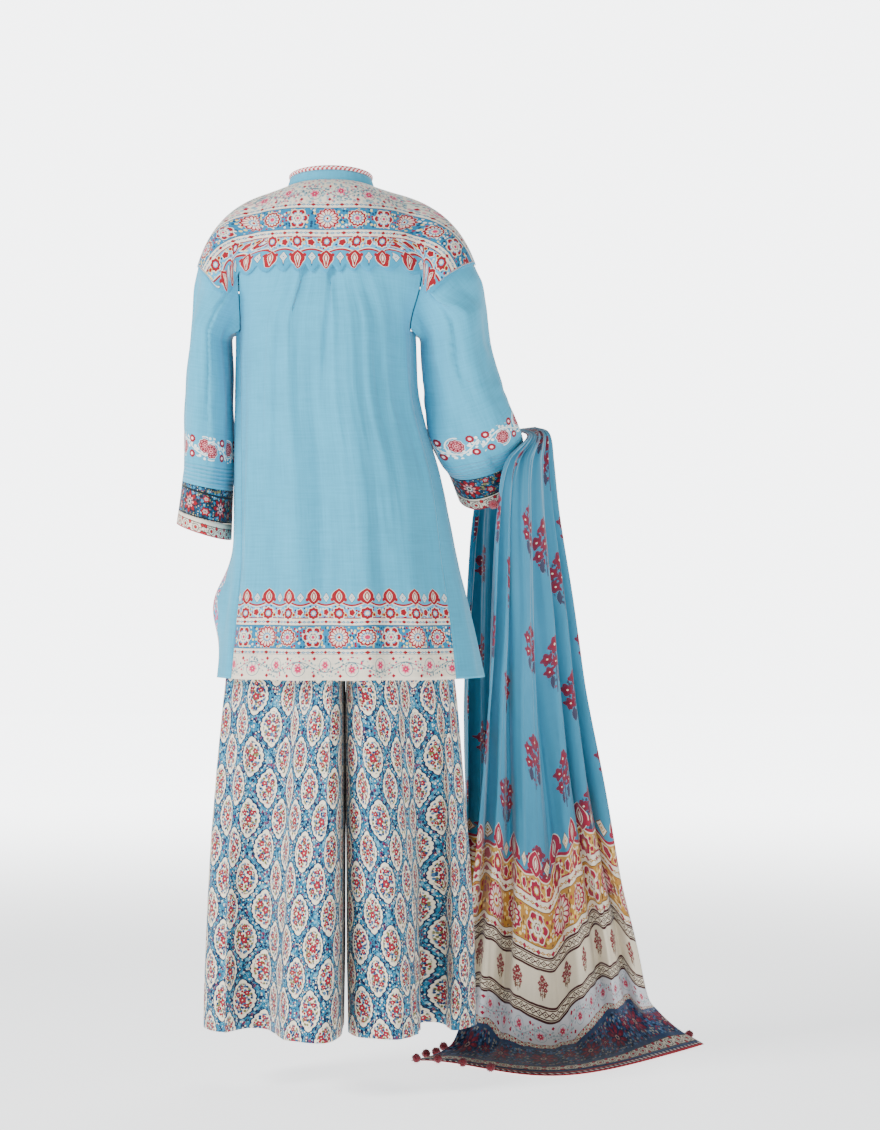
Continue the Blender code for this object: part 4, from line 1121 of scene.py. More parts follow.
class BlockPrint:
    """Motifs of a hand block print, each laid over a ground at places in millimetres."""

    def __init__(self, sheet: PrintSheet, colours: PrintColours) -> None:
        """Keep the cloth and the dyes."""
        self.sheet = sheet
        self.colours = colours

    def rosette(
        self,
        ground: Ink | str,
        x: Ink,
        y: Ink,
        radius: float,
        petals: int,
        rings: Sequence[tuple[float, str]],
        lobes: float = 0.08,
        spoke: str | None = None,
    ) -> Ink:
        """Lay a round flower over a ground.

        Args:
            ground: What is below it.
            x: The way across from its middle.
            y: The way along from its middle.
            radius: Its radius.
            petals: How many petals it has.
            rings: Its colours outwards, by share of its radius.
            lobes: How deep the gaps between its petals are.
            spoke: The colour of the lines between petals, if they show.

        Returns:
            The ground with the flower on it.
        """
        sheet = self.sheet
        away = sheet.distance(x, y)
        petal = y.maths("ARCTAN2", x).cos(float(petals))
        share = away / (petal * (lobes * radius) + radius)
        flower = sheet.stepped(share, rings)
        if spoke is not None:
            flower = sheet.over(flower, spoke, petal.under(-0.55, 0.3) * share.maths("COMPARE", 0.6, 0.28))
        return sheet.over(ground, flower, share.under(1.0, 0.04))

    def lozenge(self, ground: Ink | str, x: Ink, y: Ink, wide: float, high: float,
                rings: Sequence[tuple[float, str]]) -> Ink:
        """Lay a diamond of half width wide and half height high over a ground."""
        share = abs(x) / wide + abs(y) / high
        return self.sheet.over(ground, self.sheet.stepped(share, rings), share.under(1.0, 0.08))

    def bud(self, ground: Ink | str, x: Ink, y: Ink, wide: float, high: float,
            rings: Sequence[tuple[float, str]]) -> Ink:
        """Lay a pointed bud, round at its sides and sharp at both ends, over a ground."""
        tall = y / high
        share = abs(x) / wide + tall * tall
        return self.sheet.over(ground, self.sheet.stepped(share, rings), share.under(1.0, 0.06))

    def line(self, ground: Ink | str, away: Ink, half: float, colour: str) -> Ink:
        """Lay a line over a ground where the way from its middle is small."""
        return self.sheet.over(ground, colour, abs(away).under(half, 0.5))

    def sprinkle(self, ground: Ink | str, step: float, size: float, where: Ink, tints: Sequence[str]) -> Ink:
        """Strew small leaves and petals of several colours over part of a ground.

        Args:
            ground: What is below them.
            step: How far apart they are.
            size: Their size as a share of that.
            where: The part of the ground.
            tints: Their colours.

        Returns:
            The ground with them on it.
        """
        sheet = self.sheet
        cells = sheet.add("TexVoronoi", sheet.place, None, TO_MM / step, voronoi_dimensions="2D")
        chance = Ink(sheet, cells.socket.node.outputs["Color"])
        stops = [(place / len(tints), tint) for place, tint in enumerate(tints)]
        pick = sheet.add("SeparateColor", chance)
        leaves = sheet.stepped(pick, stops)
        return sheet.over(ground, leaves, cells.under(size, 0.06) * where)

    def vine(self, ground: Ink | str, x: Ink, y: Ink, scale: float = 1.0) -> Ink:
        """Lay a running vine with pink and red flowers over a band.

        Args:
            ground: The band.
            x: The way along the vine.
            y: The way across it, from the band's middle.
            scale: Its size; at 1 the band is 41 mm high.

        Returns:
            The band with the vine.
        """
        colours = self.colours
        period = 90.0 * scale
        rate = 2.0 * math.pi / period
        swing = x.sin(rate) * (8.5 * scale)
        off = y + swing * -1.0
        near = abs(off).under(9.0 * scale, 1.5) * abs(y).under(18.0 * scale, 1.0)
        ground = self.sprinkle(ground, 5.4 * scale, 0.30, near,
                               (colours.line, colours.line, "#9DB0AE", colours.pink))
        ground = self.line(ground, off, 0.55 * scale, colours.line)
        bloom = ((0.0, colours.cream), (0.16, colours.red), (0.30, colours.pink), (0.78, "#E9A3B4"),
                 (0.92, colours.pink))
        for start, rise, size, petals in ((22.5, -3.0, 6.4, 7), (67.5, 3.0, 6.6, 6)):
            near_x = x.wrapped(period, start * scale)
            near_y = y - rise * scale
            ring = self.sheet.distance(near_x, near_y)
            ground = self.line(ground, ring - 11.0 * scale, 0.5 * scale, colours.line)
            ground = self.rosette(ground, near_x, near_y, size * scale, petals, bloom, 0.16)
        small = ((0.0, colours.red), (0.8, colours.pink))
        half = x.wrapped(0.5 * period, 3.0 * scale)
        return self.lozenge(ground, half, abs(y) - 13.5 * scale, 3.4 * scale, 3.4 * scale, small)

    def chain(self, ground: Ink | str, x: Ink, y: Ink, scale: float = 1.0) -> Ink:
        """Lay a chain of red diamonds and blue links along the middle of a narrow band."""
        colours = self.colours
        step = 22.5 * scale
        ground = self.line(ground, y, 0.4 * scale, colours.ground)
        links = ((0.0, colours.cream), (0.35, colours.ground))
        ground = self.lozenge(ground, abs(x.wrapped(step, 0.5 * step)) - 3.8 * scale, y, 3.6 * scale,
                              2.1 * scale, links)
        return self.lozenge(ground, x.wrapped(step), y, 4.6 * scale, 3.0 * scale,
                            ((0.0, colours.red), (0.9, colours.dark)))

    def border(self, ground: Ink | str, x: Ink, y: Ink, scale: float = 1.0) -> Ink:
        """Lay the wide border over a ground: rosettes between chains, arches, swags and pendants.

        Args:
            ground: The plain cloth.
            x: The way along the border.
            y: The way across it, from the outer edge of its first chain.
            scale: Its size; at 1 it is about 104 mm high.

        Returns:
            The ground with the border.
        """
        sheet = self.sheet
        colours = self.colours
        step = 45.0 * scale
        total = 110.0 * scale
        bands = (
            (0.0, colours.cream), (8.0, colours.dark), (8.8, colours.ground), (45.0, colours.dark),
            (45.8, colours.cream), (56.0, colours.red), (57.6, colours.second),
        )
        ramp = sheet.stepped(y / total, [(place * scale / total, tint) for place, tint in bands])
        arc = abs(x.sin(math.pi / step))
        swag = y + arc * (6.5 * scale) - 83.5 * scale
        ground = sheet.over(ground, ramp, swag.under(0.0, 0.4) * (y * -1.0).under(0.0, 0.4))
        ground = self.line(ground, swag, 1.7 * scale, colours.red)
        ground = self.line(ground, swag + 2.0 * scale, 0.7 * scale, colours.cream)

        filled = abs(y - 26.8 * scale).under(16.5 * scale, 1.0)
        ground = self.sprinkle(ground, 5.2 * scale, 0.38, filled,
                               (colours.cream, colours.leaf, colours.red, colours.dark, colours.ground))
        middle = y - 26.8 * scale
        daisy = ((0.0, colours.red), (0.14, colours.cream), (0.26, colours.second), (0.40, colours.cream),
                 (0.66, "#E7A9A8"), (0.80, colours.red), (0.97, colours.cream))
        fan = ((0.0, colours.pink), (0.25, colours.cream), (0.38, colours.second), (0.55, colours.cream),
               (0.72, colours.red), (0.94, colours.cream))
        ring = ((0.0, colours.pink), (0.16, colours.cream), (0.28, colours.dark), (0.36, colours.cream),
                (0.52, colours.second), (0.62, colours.red), (0.92, colours.cream))
        ground = self.rosette(ground, x.wrapped(3.0 * step), middle, 17.0 * scale, 14, daisy, 0.07,
                              colours.red)
        ground = self.rosette(ground, x.wrapped(3.0 * step, step) * 0.9, middle, 14.0 * scale, 12, fan,
                              0.06, colours.red)
        ground = self.rosette(ground, x.wrapped(3.0 * step, 2.0 * step), middle, 16.0 * scale, 6, ring,
                              0.09, colours.cream)
        ground = self.chain(ground, x, abs(middle) - 24.0 * scale, scale)

        at_heart = x.wrapped(step)
        at_gap = x.wrapped(step, 0.5 * step)
        arch = ((0.0, colours.cream), (0.28, colours.second), (0.42, colours.red), (0.86, colours.cream))
        filled = abs(swag + 12.0 * scale).under(8.0 * scale, 1.0)
        ground = self.sprinkle(ground, 5.0 * scale, 0.34, filled,
                               (colours.red, colours.cream, colours.leaf, colours.red, colours.dark))
        ground = self.rosette(ground, at_heart, y - 64.5 * scale, 10.5 * scale, 8, arch, 0.08)
        ground = self.rosette(ground, at_gap, y - 66.0 * scale, 6.2 * scale, 5,
                              ((0.0, colours.red), (0.8, colours.cream)), 0.1)
        quarter = abs(at_heart) - 0.25 * step
        ground = self.rosette(ground, quarter, y - 62.0 * scale, 3.2 * scale, 5,
                              ((0.0, colours.red), (0.75, colours.leaf)), 0.1)

        heart = ((0.0, colours.cream), (0.14, colours.red), (0.30, colours.cream), (0.40, colours.red),
                 (0.92, colours.cream))
        ground = self.bud(ground, at_heart, y - 91.0 * scale, 12.5 * scale, 13.5 * scale, heart)
        tip = self.sheet.distance(abs(at_heart) - 11.0 * scale, y - 86.0 * scale)
        ground = sheet.over(ground, colours.red, tip.under(2.8 * scale, 0.6))
        white = ((0.0, colours.ground), (0.22, colours.cream), (0.42, colours.second),
                 (0.58, colours.cream), (0.86, colours.dark))
        return self.lozenge(ground, at_gap, y - 89.0 * scale, 7.0 * scale, 8.5 * scale, white)

    def spray(self, ground: Ink | str, x: Ink, y: Ink, scale: float, bloom: str, leaf: str) -> Ink:
        """Lay an upright spray of blossoms over a ground; at scale 1 it is about 48 mm tall."""
        side = abs(x)
        around = self.sheet.distance(x / (10.0 * scale), (y - 2.0 * scale) / (21.0 * scale))
        ground = self.sprinkle(ground, 4.0 * scale, 0.34, around.under(1.0, 0.1),
                               (leaf, bloom, leaf, leaf, bloom))
        stem = y.under(14.0 * scale, 0.5) * (y * -1.0).under(23.0 * scale, 0.5)
        ground = self.sheet.over(ground, leaf, side.under(0.7 * scale, 0.5) * stem)
        ground = self.bud(ground, side - 5.0 * scale, y + 12.0 * scale, 2.2 * scale, 6.0 * scale,
                          ((0.0, leaf),))
        rings = ((0.0, self.colours.cream), (0.16, bloom), (0.70, leaf), (0.80, bloom))
        for off, rise, size in ((0.0, 17.0, 6.0), (8.0, 8.0, 4.6), (7.0, -3.0, 4.2)):
            ground = self.rosette(ground, side - off * scale, y - rise * scale, size * scale, 5, rings, 0.18)
        return self.rosette(ground, x, y - 3.0 * scale, 4.6 * scale, 6, rings, 0.18)


@dataclass(frozen=True)
class KameezCotton:
    """Sky-blue handloom cotton, plain, as the gores and the front's shoulders are."""

    colour: str = "#3F9FBF"
    weave: CottonWeave = CottonWeave()

    def build(self) -> bpy.types.Material:
        """Return the material."""
        sheet = PrintSheet("handloom_cotton_sky_blue")
        return self.weave.weave(sheet, self.colour)


@dataclass(frozen=True)
class HemPrint:
    """Sky-blue handloom cotton with the wide block-printed border above its vine edge.

    The chart's along value is the way up from the hem.
    """

    colour: str = "#3F9FBF"
    colours: PrintColours = PrintColours()
    vine_high: float = 41.0
    weave: CottonWeave = CottonWeave()

    def build(self) -> bpy.types.Material:
        """Return the material."""
        sheet, printed, x, y = start_print("block_printed_cotton_hem", self.colours)
        base = sheet.over(self.colour, self.colours.cream, y.under(self.vine_high, 0.4))
        base = printed.vine(base, x, y - 0.5 * self.vine_high)
        base = printed.line(base, y - self.vine_high, 0.6, self.colours.line)
        return self.weave.weave(sheet, printed.border(base, x, y - self.vine_high))


@dataclass(frozen=True)
class YokePrint:
    """Block-printed cotton with a blue bound edge; along is the way up from its scalloped edge."""

    colour: str = "#2C8FB2"
    colours: PrintColours = PrintColours()
    edge: float = -4.5
    border_high: float = 105.0
    weave: CottonWeave = CottonWeave()

    def build(self) -> bpy.types.Material:
        """Return the material."""
        sheet, printed, x, y = start_print("block_printed_cotton_yoke", self.colours)
        up = (y * -1.0) + (self.edge + self.border_high)
        base = sheet.over(self.colour, self.colours.cream, up.under(0.0, 0.4))
        base = printed.sprinkle(base, 6.5, 0.36, up.under(0.0, 0.4),
                                ("#8FAEB8", "#C98A92", "#6F97A4", "#B8C4BE"))
        base = printed.vine(base, x, up + 20.5)
        base = printed.border(base, x, up)
        from_edge = sheet.add("Attribute", attribute_name="up", output="Fac") * TO_MM
        return self.weave.weave(sheet, sheet.over(base, self.colour, from_edge.under(2.0, 0.6)))


@dataclass(frozen=True)
class TrouserPrint:
    """Cotton printed all over with cream ogee cells of flowers between bands of blue lattice.

    The cells of a column stand 100 mm apart, and each column is dropped by half of that.
    """

    wide: float = 66.0
    high: float = 100.0
    cell_wide: float = 19.5
    cell_high: float = 32.0
    scallop: float = 1.8
    scallop_step: float = 8.6
    rim: float = 0.95
    bouquet_wide: float = 16.5
    bouquet_high: float = 26.0
    band: str = "#236F90"
    light: str = "#5FA0B8"
    navy: str = "#0E1F42"
    cream: str = "#EDE2CA"
    colours: PrintColours = PrintColours()
    weave: CottonWeave = CottonWeave(uneven=0.16, sheen=0.15)

    def bouquet(self, printed: BlockPrint, ground: Ink, x: Ink, y: Ink) -> Ink:
        """Lay the bouquet of one cell over its ground; x and y are from the cell's middle."""
        sheet = printed.sheet
        around = sheet.distance(x / self.bouquet_wide, y / self.bouquet_high)
        leaves = ("#1C3A62", "#6E6C3C", "#3E658C", "#8E1C2A", "#1C3A62", "#5A7A94", "#7C7A52")
        ground = printed.sprinkle(ground, 4.4, 0.50, around.under(1.0, 0.1), leaves)
        bloom = ((0.0, self.cream), (0.22, "#74101C"), (0.42, "#A8283A"), (0.78, "#6A1226"))
        blooms = (
            (-1.0, -2.0, 6.0), (8.5, 8.0, 4.2), (-8.0, 9.5, 4.0),
            (0.5, 19.0, 3.4), (7.0, -12.0, 3.6), (-8.0, -12.0, 3.0),
        )
        for off, rise, size in blooms:
            ground = printed.rosette(ground, x - off, y - rise, size, 5, bloom, 0.17)
        return ground

    def build(self) -> bpy.types.Material:
        """Return the material."""
        sheet, printed, x, y = start_print("block_printed_cotton_lattice", self.colours)
        half_wide = 0.5 * self.wide
        half_high = 0.5 * self.high
        near_x = x.wrapped(self.wide)
        near_y = y.wrapped(self.high)
        dropped_x = x.wrapped(self.wide, half_wide)
        dropped_y = y.wrapped(self.high, half_high)
        inside = (abs(near_x) / half_wide + abs(near_y) / half_high).under(1.0, 0.01)
        cell_x = dropped_x + (near_x - dropped_x) * inside
        cell_y = dropped_y + (near_y - dropped_y) * inside
        tall = abs(cell_y) / self.cell_high
        edge = (tall * tall * tall * -0.72 - tall * 0.28 + 1.0) * self.cell_wide
        slope = tall * tall * 1.4 + 0.18
        off = (edge - abs(cell_x)) / (slope * slope + 1.0).maths("SQRT")
        off = off + abs(cell_y.sin(math.pi / self.scallop_step)) * self.scallop
        ground = self.bouquet(printed, sheet.over(self.cream, self.cream, inside), cell_x, cell_y)
        band = off.under(0.0, 0.5)
        ground = sheet.over(ground, self.band, band)
        specks = off.under(-2.0, 0.5)
        ground = printed.sprinkle(ground, 6.4, 0.46, specks,
                                  (self.navy, self.light, self.navy, self.band, self.navy, "#6E2A48"))
        ground = printed.sprinkle(ground, 4.2, 0.30, specks, (self.light, self.navy, self.band, self.cream))
        ground = printed.line(ground, off + 0.9, self.rim, self.navy)
        return self.weave.weave(sheet, ground)


@dataclass(frozen=True)
class CuffPrint:
    """Dark block-printed cotton of the cuff panels; along is the way up from their lower edge."""

    high: float = 0.042
    colours: PrintColours = PrintColours(ground="#2F86AE", dark="#0F2A3A")
    weave: CottonWeave = CottonWeave(uneven=0.06, sheen=0.1)

    def build(self) -> bpy.types.Material:
        """Return the material."""
        sheet, printed, x, y = start_print("block_printed_cotton_cuff", self.colours)
        ground: Ink | str = "#12344A"
        everywhere = y.under(1000.0)
        ground = printed.sprinkle(ground, 5.6, 0.46, everywhere,
                                  ("#1F6E94", "#2C86AA", "#164A68", "#1F6E94", "#0B2030", "#6E7048"))
        ground = printed.sprinkle(ground, 4.3, 0.20, everywhere, ("#C9BFA4", "#8E202C", "#0B2030", "#A8924A"))
        flower = ((0.0, "#10202C"), (0.16, self.colours.cream), (0.24, "#2F5A78"),
                  (0.34, "#D98A86"), (0.52, self.colours.red), (0.86, "#1A1F2A"))
        step = 62.0
        middle = y - 0.5 * self.high * TO_MM
        ground = printed.rosette(ground, x.wrapped(step), middle, 16.5, 8, flower, 0.20, "#17222E")
        ground = printed.rosette(ground, x.wrapped(step, 0.5 * step), middle + 9.0, 7.0, 6, flower, 0.18)
        ground = printed.rosette(ground, x.wrapped(step, 0.5 * step), middle - 11.0, 5.5, 5, flower, 0.18)
        top = self.high * TO_MM
        ground = printed.line(ground, y - (top - 1.6), 1.5, "#0C1820")
        return self.weave.weave(sheet, printed.line(ground, y - 1.0, 0.9, "#0C1820"))


@dataclass(frozen=True)
class CuffBorder:
    """Narrow cream cotton printed with black rings and red buds, on the cuffs and the dupatta."""

    high: float = 0.017
    colours: PrintColours = PrintColours()
    weave: CottonWeave = CottonWeave(uneven=0.06, sheen=0.1)

    def lay(self, printed: BlockPrint, x: Ink, y: Ink, high: float) -> Ink:
        """Return the border's print; y is the way across it from its middle."""
        ground = printed.sheet.over(self.colours.cream, "#241A20",
                                    abs(y).under(0.5 * high, 0.4) * (abs(y) * -1.0).under(-0.42 * high, 0.4))
        ground = printed.sprinkle(ground, 3.4, 0.26, abs(y).under(0.42 * high, 0.4),
                                  ("#241A20", "#8E2A34", "#241A20", "#EFE4D2"))
        step = 1.35 * high
        rings = ((0.0, "#B3262F"), (0.30, "#241A20"), (0.42, self.colours.cream), (0.72, "#241A20"),
                 (0.90, self.colours.cream))
        ground = printed.rosette(ground, x.wrapped(step), y, 0.40 * high, 8, rings, 0.08)
        buds = ((0.0, "#B3262F"), (0.7, "#241A20"))
        return printed.rosette(ground, x.wrapped(step, 0.5 * step), abs(y) - 0.36 * high, 0.20 * high, 5,
                               buds, 0.1)

    def build(self) -> bpy.types.Material:
        """Return the material; along is the way up from the cuff's lower edge."""
        sheet, printed, x, y = start_print("block_printed_cotton_cuff_border", self.colours)
        high = self.high * TO_MM
        ground = self.lay(printed, x, y - 0.5 * high, high)
        return self.weave.weave(sheet, sheet.over(ground, "#9C2A35", y.under(2.0, 0.4)))


@dataclass(frozen=True)
class SleeveStitching:
    """Sky-blue handloom cotton with pintucks and a band of white and pink hand embroidery.

    The chart's along value is the way up from the cuff's seam. The stitches stand a little proud.
    """

    colour: str = "#3F9FBF"
    tuck_step: float = 6.2
    tuck_middle: float = 20.0
    band_middle: float = 62.0
    period: float = 92.0
    weave: CottonWeave = CottonWeave()

    def build(self) -> bpy.types.Material:
        """Return the material."""
        sheet, printed, x, along = start_print("embroidered_handloom_cotton", PrintColours())
        y = along - self.band_middle
        white = "#EDEFEA"
        rate = 2.0 * math.pi / self.period
        swing = x.sin(rate) * 11.0
        off = y - swing
        near = abs(abs(off) - 5.0).under(3.4, 1.0) * abs(y).under(21.0, 1.0)
        ground = printed.sprinkle(self.colour, 6.6, 0.36, near, (white,))
        ground = printed.line(ground, off, 1.1, white)
        fan = ((0.0, "#8E1626"), (0.14, "#E7A0A4"), (0.24, "#A82C3E"), (0.36, "#E09098"),
               (0.48, "#8E1A2A"), (0.62, "#D07880"), (0.80, "#7E1828"), (0.92, "#D8E2E6"))
        for start, rise in ((0.75, 3.5), (0.25, -3.5)):
            near_x = x.wrapped(self.period, start * self.period)
            near_y = y - rise
            ring = sheet.distance(near_x, near_y) - 14.6
            half_ring = abs(ring).under(0.9, 0.5) * (near_x * math.copysign(1.0, rise)).under(6.0, 1.0)
            ground = sheet.over(ground, white, half_ring)
            ground = printed.rosette(ground, near_x, near_y, 12.0, 9, fan, 0.05, "#6E1020")
        disc = ((0.0, "#F3D9D6"), (0.36, "#C8485A"), (0.50, "#7E1020"))
        ground = printed.rosette(ground, x.wrapped(0.5 * self.period), abs(y) - 12.0, 6.2, 11, disc, 0.05)
        tuck = (along - self.tuck_middle).wrapped(self.tuck_step)
        tucked = abs(along - self.tuck_middle).under(15.6, 0.3)
        # Painted shade: a darker blue line just below each pintuck's ridge stands for the shadow that the
        # ridge casts.
        ground = sheet.over(ground, "#5B97B8", abs(tuck + 1.7).under(0.7, 0.6) * tucked)
        stitched = abs(sheet.add("RGBToBW", ground) - 0.47) * abs(y).under(26.0, 1.0) * 0.0016
        ridge = abs(tuck).under(1.2, 2.2) * tucked * 0.0012
        return self.weave.weave(sheet, ground, stitched + ridge)


@dataclass(frozen=True)
class FrontStitching:
    """The front's cotton: the hem print, and an embroidered paisley spray beside the left seam.

    Across is the way from the middle of the front, along the way up from the hem.
    """

    edge: float = 300.0
    colours: PrintColours = PrintColours()
    weave: CottonWeave = CottonWeave()

    def build(self) -> bpy.types.Material:
        """Return the material."""
        sheet, printed, x, y = start_print("embroidered_printed_cotton_front", self.colours)
        high = HemPrint().vine_high
        base = sheet.over(HemPrint().colour, self.colours.cream, y.under(high, 0.4))
        base = printed.vine(base, x, y - 0.5 * high)
        base = printed.border(base, x, y - high)
        from_seam = abs(x) * -1.0 + self.edge
        bend = y.sin(math.pi / 55.0) * 6.0
        near_x = from_seam - 24.0 + bend
        part = abs(y - 205.0).under(62.0, 1.0)
        near = abs(near_x).under(17.0, 1.0) * part
        base = printed.sprinkle(base, 4.6, 0.36, near,
                                ("#C83C64", "#F0E4E0", "#B3262F", "#E08AA2", "#F0E4E0"))
        paisley = ((0.0, "#F0E4E0"), (0.2, "#B3262F"), (0.42, "#E59AAE"), (0.6, "#C83C64"), (0.86, "#F0E4E0"))
        base = sheet.over(base, printed.bud(base, near_x, y.wrapped(56.0, 30.0), 13.0, 24.0, paisley), part)
        return self.weave.weave(sheet, base)


@dataclass(frozen=True)
class GoreStitching:
    """The left gore's cotton, embroidered with paisleys and flowers beside the front's own."""

    colour: str = "#3F9FBF"
    middle: float = 122.0
    half_high: float = 74.0
    weave: CottonWeave = CottonWeave()

    def build(self) -> bpy.types.Material:
        """Return the material."""
        sheet, printed, x, y = start_print("embroidered_handloom_cotton_gore", PrintColours())
        part = abs(y - self.middle).under(self.half_high, 1.5) * (x + y.sin(0.11) * 4.0).under(14.0, 1.0)
        threads = ("#B02A58", "#F0E4E0", "#8E1626", "#D86A90", "#F0E4E0", "#B02A58")
        base = printed.sprinkle(self.colour, 5.0, 0.42, part, threads)
        paisley = ((0.0, "#F0E4E0"), (0.2, "#8E1626"), (0.42, "#E08AA6"), (0.6, "#B02A58"), (0.86, "#F0E4E0"))
        motif = printed.bud(base, (x + 8.0).wrapped(30.0), y.wrapped(50.0, self.middle), 12.0, 22.0, paisley)
        base = sheet.over(base, motif, part)
        raised = (sheet.add("RGBToBW", base) - 0.4) * part * 0.0012
        return self.weave.weave(sheet, base, raised)


@dataclass(frozen=True)
class DupattaPrint:
    """Fine mulmul cotton of the dupatta: sprays on sky blue, and many printed bands at its end.

    The chart's along value is the way up from the cloth's end.
    """

    colour: str = "#34809F"
    cream: str = "#D9CEB6"
    brown: str = "#3A1014"
    maroon: str = "#7A1E2C"
    slate: str = "#2C4466"
    silver: str = "#C9CBD0"
    colours: PrintColours = PrintColours(ground="#AE7C34", second="#B98C42", red="#941C38",
                                         pink="#B23A54", dark="#6A4A22", leaf="#E8C878", line="#8FA3AC")
    weave: CottonWeave = CottonWeave(thread=0.0012, uneven=0.10, roughness=0.75, sheen=0.35, relief=0.00018)
    trim: float = 14.0
    narrow_middle: float = 31.0
    slate_low: float = 44.0
    slate_high: float = 140.0
    vine_high: float = 206.0
    sprays_low: float = 236.0
    sprays_high: float = 306.0
    border_low: float = 336.0

    def rope_lines(self, printed: BlockPrint, ground: Ink, x: Ink, y: Ink) -> Ink:
        """Lay double brown lines round a chain of crossed lozenges; y is from their middle."""
        ground = printed.line(ground, abs(y) - 13.0, 2.3, self.brown)
        ground = printed.line(ground, abs(y) - 8.6, 1.2, self.brown)
        share = abs(x.wrapped(17.0)) / 9.5 + abs(y) / 6.4
        ground = printed.line(ground, (share - 0.86) * 7.0, 1.4, self.brown)
        return printed.lozenge(ground, x.wrapped(17.0), y, 2.8, 2.2, ((0.0, self.brown),))

    def build(self) -> bpy.types.Material:
        """Return the material."""
        sheet, printed, x, from_trim = start_print("block_printed_mulmul_dupatta", self.colours)
        y = from_trim + self.trim
        drop = (x / 150.0).maths("FLOOR") * 92.0
        ground = printed.spray(self.colour, x.wrapped(140.0, 70.0) * 0.62, (y + drop).wrapped(200.0), 2.1,
                               "#7A1830", "#3A3A50")
        high = 560.0
        bands = (
            (0.0, self.slate), (self.slate_high, self.silver), (self.vine_high, self.cream),
            (self.border_low - 0.5, self.colours.cream),
        )
        ramp = sheet.stepped(y / high, [(place / high, tint) for place, tint in bands])
        ground = sheet.over(ground, ramp, y.under(self.border_low, 0.5))
        slate_middle = 0.5 * (self.slate_low + self.slate_high)
        on_slate = abs(y - slate_middle).under(0.5 * (self.slate_high - self.slate_low) - 8.0, 2.0)
        ground = printed.sprinkle(ground, 6.4, 0.42, on_slate,
                                  ("#16243E", "#4C6E94", "#101C34", "#7A3044", "#8E8C84"))
        flower = ((0.0, "#1E2A44"), (0.14, "#B99C90"), (0.24, "#5A1A2C"), (0.4, "#8E3444"),
                  (0.62, "#6E2034"), (0.9, "#22304C"))
        ground = printed.rosette(ground, x.wrapped(104.0, 20.0), y - slate_middle, 25.0, 8, flower, 0.20,
                                 "#22304C")
        ground = printed.rosette(ground, x.wrapped(104.0, 72.0), y - slate_middle - 6.0, 13.0, 6, flower,
                                 0.18, "#22304C")
        lace = CuffBorder()
        across_lace = y - self.narrow_middle
        ground = sheet.over(ground, lace.lay(printed, x, across_lace, 24.0),
                            abs(across_lace).under(12.0, 0.4))
        across_narrow = y - self.slate_high - 6.5
        ground = sheet.over(ground, lace.lay(printed, x, across_narrow, 13.0),
                            abs(across_narrow).under(6.5, 0.4))
        ground = printed.vine(ground, x, y - 0.5 * (self.slate_high + 13.0 + self.vine_high), 1.25)
        low = self.vine_high + 15.0
        high_line = self.sprays_high + 15.0
        lines_y = abs(y - 0.5 * (low + high_line)) - 0.5 * (high_line - low)
        ground = self.rope_lines(printed, ground, x, lines_y)
        middle = 0.5 * (self.sprays_low + self.sprays_high)
        field_part = abs(y - middle).under(0.5 * (self.sprays_high - self.sprays_low), 0.5)
        sprays = printed.spray(ground, x.wrapped(74.0), y - middle, 1.12, self.maroon, "#6A4A3A")
        ground = sheet.over(ground, sprays, field_part)
        ground = printed.border(ground, x, y - self.border_low, 1.85)
        return self.weave.weave(sheet, ground)


@dataclass(frozen=True)
class RopeTrim:
    """Crimson cotton edge with slanting white dashes, as a twisted rope border is printed."""

    red: str = "#B01228"
    white: str = "#EDE2DA"
    plum: str = "#4A1C34"
    step: float = 13.0
    weave: CottonWeave = CottonWeave(uneven=0.08)

    def build(self) -> bpy.types.Material:
        """Return the material."""
        sheet, printed, x, y = start_print("printed_rope_edge_cotton", PrintColours())
        ground = sheet.over(self.plum, self.red, y.under(5.0, 0.5))
        slanted = (x + y * 1.1).wrapped(self.step)
        part = abs(y - 9.0).under(3.4, 0.5)
        ground = sheet.over(ground, self.white, abs(slanted).under(2.6, 0.6) * part)
        ground = printed.line(ground, y - 15.0, 1.6, self.red)
        return self.weave.weave(sheet, ground)


@dataclass(frozen=True)
class PipingStripes:
    """Cotton piping striped crimson and white round its cord; across runs along the cord."""

    red: str = "#B8303C"
    white: str = "#F4E9E6"
    step: float = 7.4
    weave: CottonWeave = CottonWeave(uneven=0.06)

    def build(self) -> bpy.types.Material:
        """Return the material."""
        sheet, _, x, y = start_print("striped_cotton_piping", PrintColours())
        stripe = abs((x + y * 0.25).wrapped(self.step))
        ground = sheet.over(self.red, self.white, stripe.under(1.75, 0.5))
        return self.weave.weave(sheet, ground)


@dataclass(frozen=True)
class WoolPile:
    """Clipped crimson wool: matt, darkened with painted shade in the hollows between the tufts and lighter at
    their ends, where painted light falls.
    """

    deep: str = "#5A0518"
    tip: str = "#A3122E"
    tuft: float = 1.0 / 620.0
    tuft_depth: float = 0.0008
    dark_from: float = 0.75

    def build(self) -> bpy.types.Material:
        """Return the material."""
        material = bpy.data.materials.new("clipped_wool")
        material.use_nodes = True
        tree = material.node_tree
        shader = tree.nodes["Principled BSDF"]
        place = add_node(tree, "TexCoord", output="Object")
        # Painted shade and light: the hollows between the tufts turn dark crimson and the tufts' ends stay
        # light.
        tufts = add_node(tree, "TexVoronoi", place, None, 1.0 / self.tuft)
        colour = add_node(tree, "ValToRGB", tufts)
        tip, deep = colour.node.color_ramp.elements
        tip.color = linear(self.tip)
        deep.color = linear(self.deep)
        deep.position = self.dark_from
        tree.links.new(colour, shader.inputs["Base Color"])
        bump = add_node(tree, "Bump", None, self.tuft_depth, invert=True)
        tree.links.new(tufts, bump.node.inputs["Height"])
        tree.links.new(bump, shader.inputs["Normal"])
        shader.inputs["Roughness"].default_value = 0.95
        shader.inputs["Sheen Weight"].default_value = 0.5
        return material


